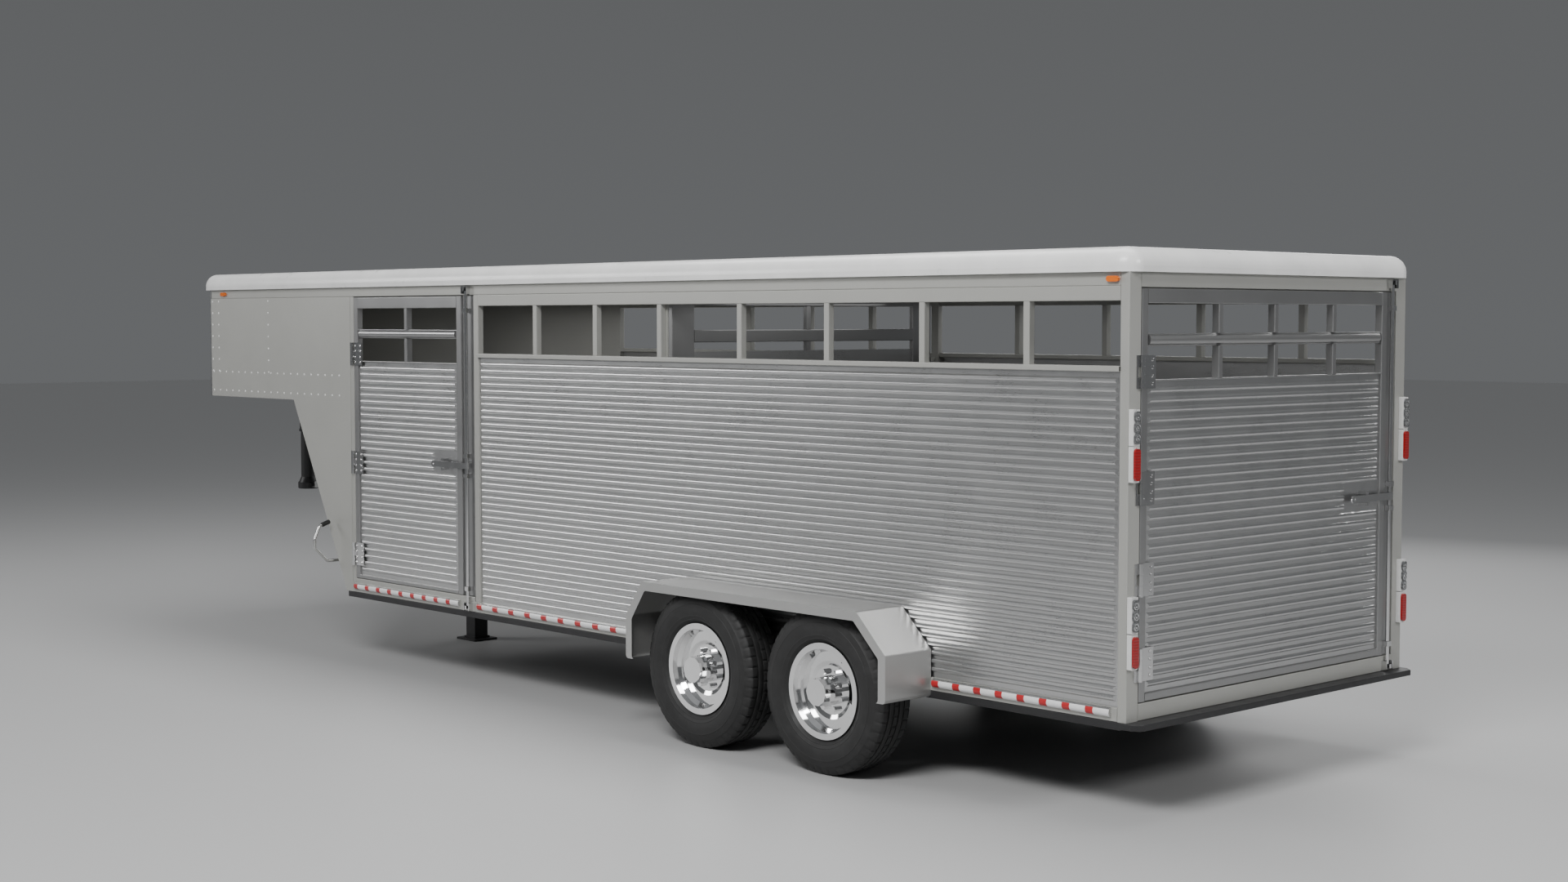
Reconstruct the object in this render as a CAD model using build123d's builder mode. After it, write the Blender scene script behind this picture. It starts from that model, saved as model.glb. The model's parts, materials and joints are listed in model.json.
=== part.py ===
"""Gooseneck livestock trailer: aluminium box body with a tapered nose, twin torsion axles and swing doors.

Frame: +X rearwards, +Y to the right-hand side, +Z up, origin on the ground under the middle of the
overall length and width. Millimetres. Most pieces are placed in the body's own frame, whose origin is
on the centreline at the rear face and the body's lower edge, with x negative towards the nose.
"""

import os
from math import cos, radians, sin, tan

from build123d import *

os.makedirs("parts", exist_ok=True)

# ---- overall sizes ----
body_width = 2134
floor_length = 6068  # rear face to the foot of the sloped drop wall
drop_run = 619  # how far the drop wall leans forward over its height
nose_reach = 2532  # foot of the drop wall to the flat front
nose_taper = 828  # length of the nose's angled stretch
nose_flat_width = 900
wall_height = 1880  # body's lower edge to the roof's lip
nose_depth = 709  # nose floor to the roof's lip
wheel_drop = 37  # body's lower edge to the wheels' centres
roof_rise = 105
roof_overhang = 25
bumper_reach = 75

# ---- sheet, tube and trim sizes ----
skin = 4
panel_sheet = 3
tube_wall = 3
post_depth = 38
edge_radius = 4
weld_gap = 0.2  # between the members of a frame
roof_skin = 1.5
roof_corner = 90
roof_edge = 80
roof_lip_width = 62
corner_strip_radius = 22
corner_seam = 0.3

# ---- side walls, as distances ahead of the rear face and heights above the lower edge ----
rear_post = 46
rear_post_width = 82
jamb = 46
escape_opening = 1278
front_jamb_width = 38
front_jamb_margin = 66  # the front jamb's front edge to the drop wall's foot
door_gap = 4
centre_post = 3033
rear_bay_pitch = 619
front_bay_posts = 2
window_post_width = 35
post_setback = 2
bottom_rail_height = 60
sill_drop, sill_thickness = 391, 24  # roof's lip to the sill's top
sill_ledge = 8
window_drop = 120
top_rail_depth = 57
threshold_top = 86

# ---- ribbed panels ----
rib_width = 26
rib_height = 9
panel_inset = 11
wall_rib_pitch = 38
door_rib_pitch = 41.3
rib_margin = 24
rib_end_inset = 15

# ---- doors: rises are above the body's lower edge, drops below the roof's lip ----
rear_door_bottom, rear_door_drop = 78, 68
escape_door_bottom, escape_door_drop = 90, 62
rear_header_depth = 63
rear_sill_height = 73
door_depth = 38
door_panel_bottom, door_panel_drop = 112, 450
door_ledge = 6
door_rail_drop, door_rail_height = 256, 54
door_window_drop = 130
hinge_stile = 42
lock_stile = 49
rear_door_bar_shares = (0.283, 0.496, 0.734)  # of the rear door's width
door_bar_width = 30
lock_strip_inset = 12
lock_bar_edge = 52  # lock bar's axis to the door's free edge
escape_lock_edge = 120  # from the lock stile's outer side to the door's free edge
rear_hinge_shares = (0.126, 0.316, 0.52, 0.779)  # of the wall's height
escape_hinge_shares = (0.127, 0.428, 0.783)

# ---- hinges ----
hinge_offset = 8  # the pin's axis, outside the door's edge
knuckle_radius = 10
knuckle_lift = 2  # the knuckles stand clear of the door's face
hinge_pin_radius = 4
hinge_height = 140
middle_knuckle = 44
knuckle_gap = 0.5
leaf_thickness = 4
strap_length = 90
leaf_width = 20
pin_clearance = 0.05

# ---- lock bars ----
lock_bar_radius = 10
lock_bar_lift = 2  # the bar stands clear of the door's face
lock_bar_inset = 14  # from the body's lower edge and from the roof's lip
guide_low, guide_spread, guide_drop = 132, 58, 145
guide_wall = 7  # round the lock bar
guide_front_wall = 5
guide_height = 24
handle_height = 842
handle_length = 345
handle_width = 34
handle_thickness = 7
collar_wall = 7
cam_reach = 10  # past the lock bar
cam_height = 20
keeper_height = 44
keeper_margin = 6  # from the body's lower edge and from the roof's lip
keeper_back = 1.5
keeper_wall = 5
keeper_depth = 28
keeper_clearance = 3
hasp_distance = 225
hasp_gap = 3

# ---- centre gate ----
gate_axis_inset = 77  # the gate's pivot, in from the wall's outer face
gate_start = 20
gate_free_gap = 44
gate_thickness = 30
gate_bottom, gate_drop = 95, 65
gate_stile = 150
gate_rail = 60
gate_panel_drop = 365
gate_mid_rail_drop, gate_mid_rail_height = 252, 65
gate_bar_width = 32
gate_hinge_shares = (0.17, 0.755)  # of the wall's height
gate_latch_height = 1000
gate_bolt_radius = 8
gate_bolt_reach = 20
gate_bolt_travel = 25
gate_post_thickness = 9
gate_post_width = 54

# ---- running gear ----
rear_wheel_station = 1576
tyre_gap = 95  # between the front and rear tyres
wheel_names = ("rear", "front")
tyre_radius = 391
tyre_half_width = 117
tyre_tread_half = 84
tyre_reach = 138  # centre plane of the tyres, out from the wall
bead_radius = 203
tyre_wall = 11
bead_width = 14
tread_thickness = 17
groove_width, groove_depth = 8, 7
groove_places = (-48, -16, 16, 48)
rim_half_width = 95
rim_lip_radius = 226
rim_thickness = 6
disc_depth = 60
disc_thickness = 9
window_count = 5
window_inner, window_outer = 122, 178
hub_plate_radius = 116
stud_circle_radius = 90
stud_count = 8
nut_radius, nut_length = 13, 24
cap_radius = 64
cap_sides = 10
cap_reach = 42  # past the rim's lip
hub_radius = 58
hub_depth = 150
spindle_radius = 22
spindle_clearance = 0.06
arm_length = 152
arm_angle = 22.5
arm_thickness = 25
arm_width = 62
arm_inset = 83  # centre plane of the arms, in from the wall
axle_size = 76
axle_wall = 6
axle_inset = 107
torsion_bar_radius = 20
torsion_bar_length = 70
fender_reach = 298
fender_sheet = 3
fender_lip = 45
fender_room = 16  # over the tyres, to the fender's top
fender_bottom = -30
fender_drop = 183  # fender's top to its shoulders
fender_end_room = (96, 77)  # past the front and the rear tyre
fender_slope_runs = (125, 184)  # length of the sloped stretches
fender_bend = 18

# ---- underframe ----
main_rail_inset, main_rail_width = 127, 60
side_rail_width = 60
side_rail_depth = 35
frame_wall = 4
crossmember_width, crossmember_depth = 45, 50
crossmember_pitch = 400
side_rail_overlap = (54, 75)  # how far the side rails reach past the tyres' ends
bumper_thickness = 26
bumper_overhang = 13
bumper_chamfer = 40

# ---- floor ----
plank_thickness = 4
plank_leg = 34
plank_pitch = 150
nose_plate = 10

# ---- rub rails ----
rub_bottom, rub_top = 18, 59
rub_rear_end = 75
rub_fender_gap = 21
rub_lock_gap = 94  # half the gap that leaves the lock bar free

# ---- lamps ----
lamp_inset = 24
lamp_width = 42
lamp_depth = 24
lens_width = 36
lens_reach = 10
clear_lenses = ((1165, 1304), (382, 522))
red_lenses = ((1013, 1149), (231, 365))
lamp_margin = 7
marker_length, marker_height, marker_reach = 64, 24, 14
marker_margins = (81, 202)  # from the rear face, and from the nose's first corner
marker_drop = 29

# ---- coupler ----
coupler_margin = 275  # coupler's axis to the flat front
receiver_radius = 57
coupler_tube_radius = 51
coupler_tube_clearance = 0.06
coupler_tube_wall = 8
receiver_drop, receiver_rise = 301, 309  # below and above the nose floor
coupler_tube_rise = 89
coupler_bottom = 452
coupler_block_height = 46
coupler_cone_height = 40
coupler_block_radius = 74
socket_radius = 29.87
socket_depth = 42
mount_flange_radius, mount_flange_thickness = 110, 12
latch_level = 12  # above the coupler's lower face
latch_width, latch_thickness = 31.8, 6
latch_clearance = 0.1
latch_reach = 118
latch_handle_height = 44
set_bolt_size = 24
set_bolt_rises = (35, 115)

# ---- jack ----
jack_lead = 137  # jack's axis ahead of the drop wall's foot
jack_leg_size = 102
jack_leg_wall = 6
jack_leg_clearance = 2
jack_housing_wall = 4
jack_housing_top = 640
jack_leg_top = 190
foot_length, foot_width, foot_thickness = 213, 184, 12
pocket_half_width = 130
pocket_lead = 42
pocket_top = 710
crank_level = 177
crank_radius = 9
crank_clearance = 0.05
crank_bend = 22
crank_tail = 14  # straight end of the crank, behind the grip
grip_radius = 14
gearbox_size = 76
gearbox_reach = 40
crank_bow = ((58, 0), (145, 85), (145, 138), (109, 222))  # (out from the wall, above the shaft)
grip_end = (39, 246)
crank_bracket_inset = 82
crank_bracket_width = 20
jack_lug_levels = (150, 470)
jack_lug_half_width, jack_lug_height = 40, 90
jack_cap = 8
foot_collar = 8
receiver_collar, receiver_collar_height = 5, 18
set_bolt_reach = 30
socket_top_radius = 6
latch_socket_gap = 1.5
latch_round = 2
rail_front_inset, rail_rear_inset = 16, 30
tyre_shoulder = (20, 14)  # (below the tread, beyond its edge)
tyre_shoulder_round = (6, 9)
tread_edge_inset = 4
rim_flange_rise = 3
bead_gap = 6
rim_well_depth, rim_well_lead, rim_well_end = 20, 40, 10
rim_well_wall, rim_well_round = 4, 6
disc_front_bend = (20, 8)  # (beyond the hub plate, in front of it)
disc_front_shoulder = (16, 8)  # (inside the rim, in front of the hub plate)
disc_back_bend, disc_back_shoulder = 24, (14, 4)
disc_edge = (14, 30)
window_half_angles = (17, 22)  # at the hub's end and at the rim's
window_bulge, window_corner = 8, 8
cap_spread, cap_taper = 6, 3
lens_gap, lens_round = 2, 0.4  # round corners, as a share of the lens's width
boss_trim = 2
strap_start = 3
knuckle_plate_drop = 4  # the door's knuckle plate stops this far below the hinge's axis
hasp_half_width, hasp_height, hasp_reach = 8, 14, 8
cam_half_width = 8
handle_stand = 8
handle_eye_inset, handle_eye_radius = 24, 7
gate_plate_half, gate_leaf_half = 3, 4
gate_jaw_depth, gate_jaw_width = 20, 8

# ---- places worked out from the sizes ----
half_width = body_width / 2
nose_length = floor_length + nose_reach
straight_length = nose_length - nose_taper
nose_floor_height = wall_height - nose_depth
ride_height = tyre_radius + wheel_drop
rear_face = (nose_length + roof_overhang - bumper_reach) / 2
body = Plane(origin=(rear_face, 0, ride_height), x_dir=(1, 0, 0), z_dir=(0, 0, 1))
wheel_level = -wheel_drop
wheel_stations = (rear_wheel_station, rear_wheel_station + 2 * tyre_radius + tyre_gap)
fender_top = wheel_level + tyre_radius + fender_room
fender_shoulder = fender_top - fender_drop
tyres_front, tyres_rear = wheel_stations[1] + tyre_radius, wheel_stations[0] - tyre_radius
fender_front, fender_rear = tyres_front + fender_end_room[0], tyres_rear - fender_end_room[1]
fender_front_top = fender_front - fender_slope_runs[0]
fender_rear_top = fender_rear + fender_slope_runs[1]
wheel_clear_front = tyres_front - side_rail_overlap[0]
wheel_clear_rear = tyres_rear + side_rail_overlap[1]
hinge_stand = knuckle_radius + knuckle_lift
lock_bar_stand = lock_bar_radius + lock_bar_lift
guide_width = 2 * (lock_bar_radius + guide_wall)
guide_front = lock_bar_stand + lock_bar_radius + guide_front_wall
handle_collar = lock_bar_radius + collar_wall
cam_radius = lock_bar_radius + cam_reach
rear_lock_edge = lock_bar_edge + guide_width / 2 + 1
slope = drop_run / nose_floor_height
pivot_ahead = arm_length * cos(radians(arm_angle))
pivot_level = wheel_level - arm_length * sin(radians(arm_angle))
main_rail_depth = -(pivot_level + axle_size / 2)
front_jamb_end = floor_length - front_jamb_margin
escape_hinge_edge = front_jamb_end - front_jamb_width - door_gap
front_window_end = escape_hinge_edge + door_gap - escape_opening - jamb
escape_free_edge = front_window_end + jamb + door_gap
sill_top = wall_height - sill_drop
sill_bottom = sill_top - sill_thickness
window_top = wall_height - window_drop
top_rail_bottom = wall_height - top_rail_depth
door_panel_top = wall_height - door_panel_drop
door_rail_top = wall_height - door_rail_drop
door_rail_bottom = door_rail_top - door_rail_height
door_window_top = wall_height - door_window_drop
lock_bar_top = wall_height - lock_bar_inset
guide_heights = (
    guide_low, handle_height - guide_spread, handle_height + guide_spread, wall_height - guide_drop,
)
gate_knuckle_radius = knuckle_radius - 1
gate_top = wall_height - gate_drop
gate_panel_top = wall_height - gate_panel_drop
gate_rail_top = wall_height - gate_mid_rail_drop
gate_rail_bottom = gate_rail_top - gate_mid_rail_height
gate_hinge_heights = [share * wall_height for share in gate_hinge_shares]
tyre_plane = half_width + tyre_reach
arm_plane = half_width - arm_inset
main_rail_outer = half_width - main_rail_inset
main_rail_inner = main_rail_outer - main_rail_width
lamp_plane = half_width - lamp_inset
coupler_station = nose_length - coupler_margin
receiver_bottom, receiver_top = nose_floor_height - receiver_drop, nose_floor_height + receiver_rise
coupler_tube_top = nose_floor_height + coupler_tube_rise
jack_station = floor_length + jack_lead
pocket_back = floor_length + pocket_lead


def plane_in(frame, point, x_dir, normal):
    """A plane through a point that is given in another plane's frame."""
    return Plane(origin=frame.from_local_coords(point), x_dir=x_dir, z_dir=normal)


left_wall = plane_in(body, (0, -half_width, 0), (1, 0, 0), (0, -1, 0))
right_wall = plane_in(body, (0, half_width, 0), (-1, 0, 0), (0, 1, 0))
rear_door_half = half_width - rear_post_width
rear_door = plane_in(body, (0, door_gap - rear_door_half, 0), (0, 1, 0), (1, 0, 0))
escape_door = plane_in(body, (-escape_hinge_edge, -half_width, 0), (1, 0, 0), (0, -1, 0))
gate_axis = half_width - gate_axis_inset
gate = plane_in(body, (-centre_post, gate_axis, 0), (0, -1, 0), (-1, 0, 0))
rear_door_width = 2 * (rear_door_half - door_gap)
escape_door_width = escape_hinge_edge - escape_free_edge
escape_lock_station = escape_free_edge + lock_bar_edge
rub_stretches = (
    (rub_rear_end, fender_rear - rub_fender_gap),
    (fender_front + rub_fender_gap, escape_lock_station - rub_lock_gap),
    (escape_lock_station + rub_lock_gap, escape_hinge_edge),
)


def keep(piece, name):
    """Labels a finished piece and writes its file."""
    piece.part.label = name
    export_step(piece.part, f"parts/{name}.step")


def block(frame, x, y, z, mode=Mode.ADD):
    """A box between three pairs of limits, in the frame's own directions."""
    centre = [(low + high) / 2 for low, high in (x, y, z)]
    with Locations(frame.location * Pos(*centre)):
        Box(*(abs(high - low) for low, high in (x, y, z)), mode=mode)


def bar(frame, x, y, z, along, wall=0, radius=edge_radius, mode=Mode.ADD):
    """A bar with rounded long edges between three pairs of limits, or a tube if it has a wall."""
    limits = [sorted(pair) for pair in (x, y, z)]
    directions = [frame.x_dir, frame.y_dir, frame.z_dir]
    run = "xyz".index(along)
    across, up = (run + 1) % 3, (run + 2) % 3
    start = [sum(pair) / 2 for pair in limits]
    start[run] = limits[run][0]
    width, height = (limits[axis][1] - limits[axis][0] for axis in (across, up))
    section = plane_in(frame, tuple(start), directions[across], directions[run])
    with BuildSketch(section) as profile:
        RectangleRounded(width, height, min(radius, 0.45 * min(width, height)))
        if wall:
            Rectangle(width - 2 * wall, height - 2 * wall, mode=Mode.SUBTRACT)
    extrude(profile.sketch, amount=limits[run][1] - limits[run][0], mode=mode)


def rod(frame, centre, radius, length, along="z", mode=Mode.ADD):
    """A round rod that starts at a point of the frame and runs along one of its directions."""
    directions = [frame.x_dir, frame.y_dir, frame.z_dir]
    run = "xyz".index(along)
    with BuildSketch(plane_in(frame, centre, directions[(run + 1) % 3], directions[run])) as circle:
        Circle(radius)
    extrude(circle.sketch, amount=length, mode=mode)


def ribs(frame, x, heights, face):
    """Half-round ribs that run along a panel's face, with both ends bevelled at 45 degrees."""
    radius = (rib_width**2 / 4 + rib_height**2) / (2 * rib_height)
    drop = radius - rib_height
    low, high = min(heights), max(heights)
    section = plane_in(frame, (x[0], 0, face), frame.y_dir, frame.x_dir)
    with BuildSketch(section) as beads:
        with Locations(*[(height, -drop) for height in heights]):
            Circle(radius)
        with Locations(((low + high) / 2, -panel_sheet / 2 - radius)):
            Rectangle(high - low + 4 * radius, 2 * radius, mode=Mode.SUBTRACT)
    extrude(beads.sketch, amount=x[1] - x[0])
    for end, inwards in ((x[0], 1), (x[1], -1)):
        start = plane_in(frame, (end, low - radius, face), frame.x_dir, -frame.y_dir)
        with BuildSketch(start) as bevel:
            with BuildLine():
                Polyline(
                    (-inwards, 0), (0, 0), (2 * inwards * rib_height, 2 * rib_height),
                    (-inwards, 2 * rib_height), close=True,
                )
            make_face()
        extrude(bevel.sketch, amount=-(high - low + 2 * radius), mode=Mode.SUBTRACT)


def rib_rows(bottom, top, pitch):
    """Heights of the ribs that fit between a panel's lower and upper edges."""
    count = int((top - bottom - 2 * rib_margin) / pitch) + 1
    spare = top - bottom - (count - 1) * pitch
    return [bottom + spare / 2 + row * pitch for row in range(count)]


def ribbed_wall(frame, x):
    """A wall panel between the bottom rail and the sill."""
    face = -panel_inset
    block(frame, x, (bottom_rail_height, sill_bottom), (face - panel_sheet, face))
    rows = rib_rows(bottom_rail_height, sill_bottom, wall_rib_pitch)
    ribs(frame, (x[0] + rib_end_inset, x[1] - rib_end_inset), rows, face)


def plan_outline():
    """Corners of the body's plan, anticlockwise from the rear right one."""
    flat = nose_flat_width / 2
    return [
        (0, half_width), (-straight_length, half_width), (-nose_length, flat),
        (-nose_length, -flat), (-straight_length, -half_width), (0, -half_width),
    ]


def plan_face(grow, corner=0):
    """The body's plan, grown or shrunk all round, with its corners rounded if asked."""
    with BuildSketch() as plan:
        with BuildLine():
            Polyline(*plan_outline(), close=True)
        make_face()
        offset(amount=grow, kind=Kind.INTERSECTION)
        if corner:
            fillet(plan.vertices(), radius=corner)
    return plan.sketch


def corner_strip(index):
    """A nose corner's rounded strip: its centre, and how far it reaches along the sheets beside it."""
    points = [Vector(x, y) for x, y in plan_outline()]
    here = points[index]
    before = (points[index - 1] - here).normalized()
    after = (points[index + 1] - here).normalized()
    half_turn = radians(before.get_angle(after) / 2)
    middle = (before + after).normalized()
    centre = here + middle * (corner_strip_radius / sin(half_turn))
    depth = corner_strip_radius - skin
    reach = corner_strip_radius / tan(half_turn) + (corner_strip_radius**2 - depth**2) ** 0.5
    return centre, reach + corner_seam


# ---- roof: a shallow pressed tray with a rolled edge and an inward lip that sits on the walls ----
with BuildPart() as roof:
    with BuildSketch(body.offset(wall_height)):
        add(plan_face(roof_overhang, roof_corner))
    extrude(amount=roof_rise)
    fillet(roof.edges().group_by(Axis.Z)[-1], radius=roof_edge)
    offset(amount=-roof_skin, openings=roof.faces().sort_by(Axis.Z)[0])
    with BuildSketch(body.offset(wall_height)):
        add(plan_face(roof_overhang - roof_skin / 2, roof_corner))
        add(plan_face(roof_overhang - roof_lip_width), mode=Mode.SUBTRACT)
    extrude(amount=skin)
keep(roof, "roof")

# ---- floor: ribbed planks in the box, a flat plate in the nose ----
with BuildPart() as floor:
    plank_half = half_width - post_depth - weld_gap
    plank_top = bottom_rail_height
    plank_low = plank_top - plank_thickness - plank_leg
    plank_front, plank_rear = -floor_length + skin + weld_gap - slope * plank_low, -rear_post
    block(
        body, (plank_front, plank_rear), (-plank_half, plank_half), (plank_top - plank_thickness, plank_top),
    )
    leg_count = int(2 * plank_half / plank_pitch)
    for leg in range(leg_count + 1):
        place = (leg - leg_count / 2) * plank_pitch
        leg_top = plank_top - plank_thickness
        block(
            body, (plank_front, plank_rear), (place - panel_sheet / 2, place + panel_sheet / 2),
            (leg_top - plank_leg, leg_top),
        )
    nose_start = floor_length + drop_run - skin
    with BuildSketch(body.offset(nose_floor_height)) as nose_plan:
        add(plan_face(-skin - corner_seam))
    extrude(nose_plan.sketch, amount=nose_plate)
    rear_cut = (nose_floor_height - 1, nose_floor_height + nose_plate + 1)
    block(body, (-nose_start, 1), (-half_width, half_width), rear_cut, mode=Mode.SUBTRACT)
    nose_corners_low = nose_floor_height - 1
    for x, y in plan_outline()[1:-1]:
        rod(
            body, (x, y, nose_corners_low), 2 * corner_strip_radius + skin, nose_plate + 2,
            mode=Mode.SUBTRACT,
        )
    rod(
        body, (-coupler_station, 0, nose_corners_low), receiver_radius + corner_seam, nose_plate + 2,
        mode=Mode.SUBTRACT,
    )
keep(floor, "floor")

# ---- drop wall: the sloped front wall under the nose, with a pocket for the jack ----
with BuildPart() as drop_wall:
    side_plane = plane_in(body, (0, 0, 0), (1, 0, 0), (0, -1, 0))
    inner_half = half_width - skin - weld_gap
    with BuildSketch(side_plane) as slab:
        with BuildLine():
            Polyline(
                (-floor_length, 0), (-floor_length + skin, 0),
                (-floor_length - drop_run + skin, nose_floor_height),
                (-floor_length - drop_run, nose_floor_height), close=True,
            )
        make_face()
    extrude(slab.sketch, amount=inner_half, both=True)
    slot_bottom = (pocket_back - floor_length) / slope
    pocket_outer = pocket_half_width + panel_sheet
    block(
        body, (-floor_length - drop_run, -floor_length + skin),
        (-pocket_outer - weld_gap, pocket_outer + weld_gap),
        (slot_bottom - weld_gap, pocket_top + weld_gap), mode=Mode.SUBTRACT,
    )
    with BuildSketch(side_plane) as cheek:
        with BuildLine():
            Polyline(
                (-pocket_back, slot_bottom), (-pocket_back, pocket_top),
                (-floor_length - slope * pocket_top, pocket_top), close=True,
            )
        make_face()
    extrude(cheek.sketch, amount=pocket_outer, both=True)
    block(
        body, (-straight_length, -pocket_back - panel_sheet), (-pocket_half_width, pocket_half_width),
        (0, pocket_top - panel_sheet), mode=Mode.SUBTRACT,
    )
keep(drop_wall, "drop_wall")

# ---- underframe: main rails, crossmembers, side rails and outriggers ----
with BuildPart() as underframe:
    frame_front, frame_rear = floor_length - rail_front_inset, rail_rear_inset
    for side in (-1, 1):
        bar(
            body, (-frame_front, -frame_rear), (side * main_rail_inner, side * main_rail_outer),
            (-main_rail_depth, 0), "x", frame_wall,
        )
        for front, rear in ((frame_front, wheel_clear_front), (wheel_clear_rear, frame_rear)):
            bar(
                body, (-front, -rear), (side * (half_width - side_rail_width), side * half_width),
                (-side_rail_depth, 0), "x", frame_wall,
            )
            for place in (front - crossmember_width, rear + crossmember_width):
                bar(
                    body, (-place - crossmember_width / 2, -place + crossmember_width / 2),
                    (
                        side * (main_rail_outer + weld_gap),
                        side * (half_width - side_rail_width - weld_gap),
                    ),
                    (-side_rail_depth, 0), "y", frame_wall,
                )
    cross_half = main_rail_inner - weld_gap
    member_room = frame_front - frame_rear - 2 * crossmember_width
    for member in range(int(member_room / crossmember_pitch) + 1):
        place = frame_rear + crossmember_width + member * crossmember_pitch
        bar(
            body, (-place - crossmember_width / 2, -place + crossmember_width / 2),
            (-cross_half, cross_half), (-crossmember_depth, 0), "y", frame_wall,
        )
keep(underframe, "underframe")

# ---- rear bumper: a black bar under the rear sill with cut-off corners ----
with BuildPart() as rear_bumper:
    with BuildSketch(body.offset(-bumper_thickness)) as bumper_plan:
        with Locations(((bumper_reach - frame_rear) / 2 + weld_gap, 0)):
            Rectangle(bumper_reach + frame_rear - 2 * weld_gap, body_width + 2 * bumper_overhang)
        chamfer(bumper_plan.vertices().group_by(Axis.X)[-1], length=bumper_chamfer)
    extrude(amount=bumper_thickness)
    fillet(rear_bumper.edges().group_by(Axis.Z)[-1], radius=edge_radius)
keep(rear_bumper, "rear_bumper")

# ---- wall rails, posts, sills and window posts, the same on both sides ----
inner_face, outer_face = half_width - post_depth, half_width
strip_centre, strip_room = corner_strip(1)
top_rail_front = strip_centre.X + corner_strip_radius + corner_seam
with BuildPart() as wall_rails:
    for side in (-1, 1):
        across = (side * inner_face, side * outer_face)
        bar(
            body, (top_rail_front, -rear_post), across, (top_rail_bottom, wall_height),
            "x", tube_wall,
        )
        bar(body, (-front_jamb_end, -rear_post), across, (0, bottom_rail_height), "x", tube_wall)
    bar(
        body, (-escape_hinge_edge, -escape_free_edge), (-inner_face, -outer_face),
        (bottom_rail_height - edge_radius, threshold_top), "x", tube_wall,
    )
keep(wall_rails, "wall_rails")

post_span = (bottom_rail_height, top_rail_bottom)
with BuildPart() as wall_posts:
    for side in (-1, 1):
        across = (side * inner_face, side * outer_face)
        corner = (side * (half_width - rear_post_width), side * half_width)
        bar(body, (-rear_post, 0), corner, (0, wall_height), "z", tube_wall)
        bar(body, (-front_window_end - jamb, -front_window_end), across, post_span, "z", tube_wall)
        bar(body, (-front_jamb_end, -escape_hinge_edge - door_gap), across, post_span, "z", tube_wall)
keep(wall_posts, "wall_posts")

bays = {-1: [(rear_post, front_window_end)], 1: [(rear_post, front_window_end)]}
bays[1].append((front_window_end + jamb, front_jamb_end - front_jamb_width))
with BuildPart() as window_rails:
    for side, stretches in bays.items():
        across = (side * inner_face, side * outer_face)
        ledge = (side * inner_face, side * (outer_face + sill_ledge))
        for rear, front in stretches:
            bar(body, (-front, -rear), across, (window_top, top_rail_bottom), "x", tube_wall)
            bar(body, (-front, -rear), ledge, (sill_bottom, sill_top), "x", tube_wall)
keep(window_rails, "window_rails")

front_bay_pitch = (front_window_end - centre_post) / (front_bay_posts + 1)
rear_bay_count = int((centre_post - rear_post) / rear_bay_pitch)
post_places = [centre_post - step * rear_bay_pitch for step in range(rear_bay_count + 1)]
post_places += [centre_post + (step + 1) * front_bay_pitch for step in range(front_bay_posts)]
with BuildPart() as window_posts:
    for side, stretches in bays.items():
        places = list(post_places)
        for rear, front in stretches[1:]:
            places.append((rear + front) / 2)
        for place in places:
            bar(
                body, (-place - window_post_width / 2, -place + window_post_width / 2),
                (side * inner_face, side * (outer_face - post_setback)), (sill_top, window_top),
                "z", tube_wall,
            )
keep(window_posts, "window_posts")

with BuildPart() as side_panels:
    ribbed_wall(left_wall, (-front_window_end, -rear_post))
    for rear, front in bays[1]:
        ribbed_wall(right_wall, (rear, front))
keep(side_panels, "side_panels")

# ---- nose sides and the triangular sheets behind the drop wall ----
with BuildPart() as nose_sides:
    for side in (-1, 1):
        across = (side * (half_width - skin), side * half_width)
        block(
            body, (-straight_length + strip_room, -front_jamb_end - weld_gap), across,
            (nose_floor_height, top_rail_bottom),
        )
        face = plane_in(body, (0, side * half_width, 0), (1, 0, 0), (0, -1, 0))
        with BuildSketch(face) as sheet:
            with BuildLine():
                Polyline(
                    (-front_jamb_end - weld_gap, 0), (-floor_length, 0),
                    (-floor_length - drop_run, nose_floor_height - weld_gap),
                    (-front_jamb_end - weld_gap, nose_floor_height - weld_gap), close=True,
                )
            make_face()
        extrude(sheet.sketch, amount=side * skin)
keep(nose_sides, "nose_sides")


with BuildPart() as nose_skin:
    for index in (1, 2, 3):
        start, end = (Vector(*plan_outline()[place]) for place in (index, index + 1))
        along = (end - start).normalized()
        outward = Vector(0, 0, 1).cross(along) * -1
        sheet_plane = plane_in(body, (start.X, start.Y, 0), (along.X, along.Y, 0), (outward.X, outward.Y, 0))
        upright = sheet_plane.y_dir.Z
        heights = (upright * nose_floor_height, upright * wall_height)
        length = (end - start).length
        trims = (corner_strip(index)[1], length - corner_strip(index + 1)[1])
        block(sheet_plane, trims, heights, (-skin, 0))
keep(nose_skin, "nose_skin")

with BuildPart() as nose_corners:
    for index in (1, 2, 3, 4):
        centre = corner_strip(index)[0]
        place = (centre.X, centre.Y, nose_floor_height)
        rod(body, place, corner_strip_radius, wall_height - nose_floor_height)
        rod(
            body, place, corner_strip_radius - skin, wall_height - nose_floor_height,
            mode=Mode.SUBTRACT,
        )
keep(nose_corners, "nose_corners")

# ---- rear header and sill, between the corner posts ----
with BuildPart() as rear_frame:
    between = (-rear_door_half, rear_door_half)
    bar(body, (-rear_post, 0), between, (wall_height - rear_header_depth, wall_height), "y", tube_wall)
    bar(body, (-rear_post, 0), between, (0, rear_sill_height), "y", tube_wall)
keep(rear_frame, "rear_frame")

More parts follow.
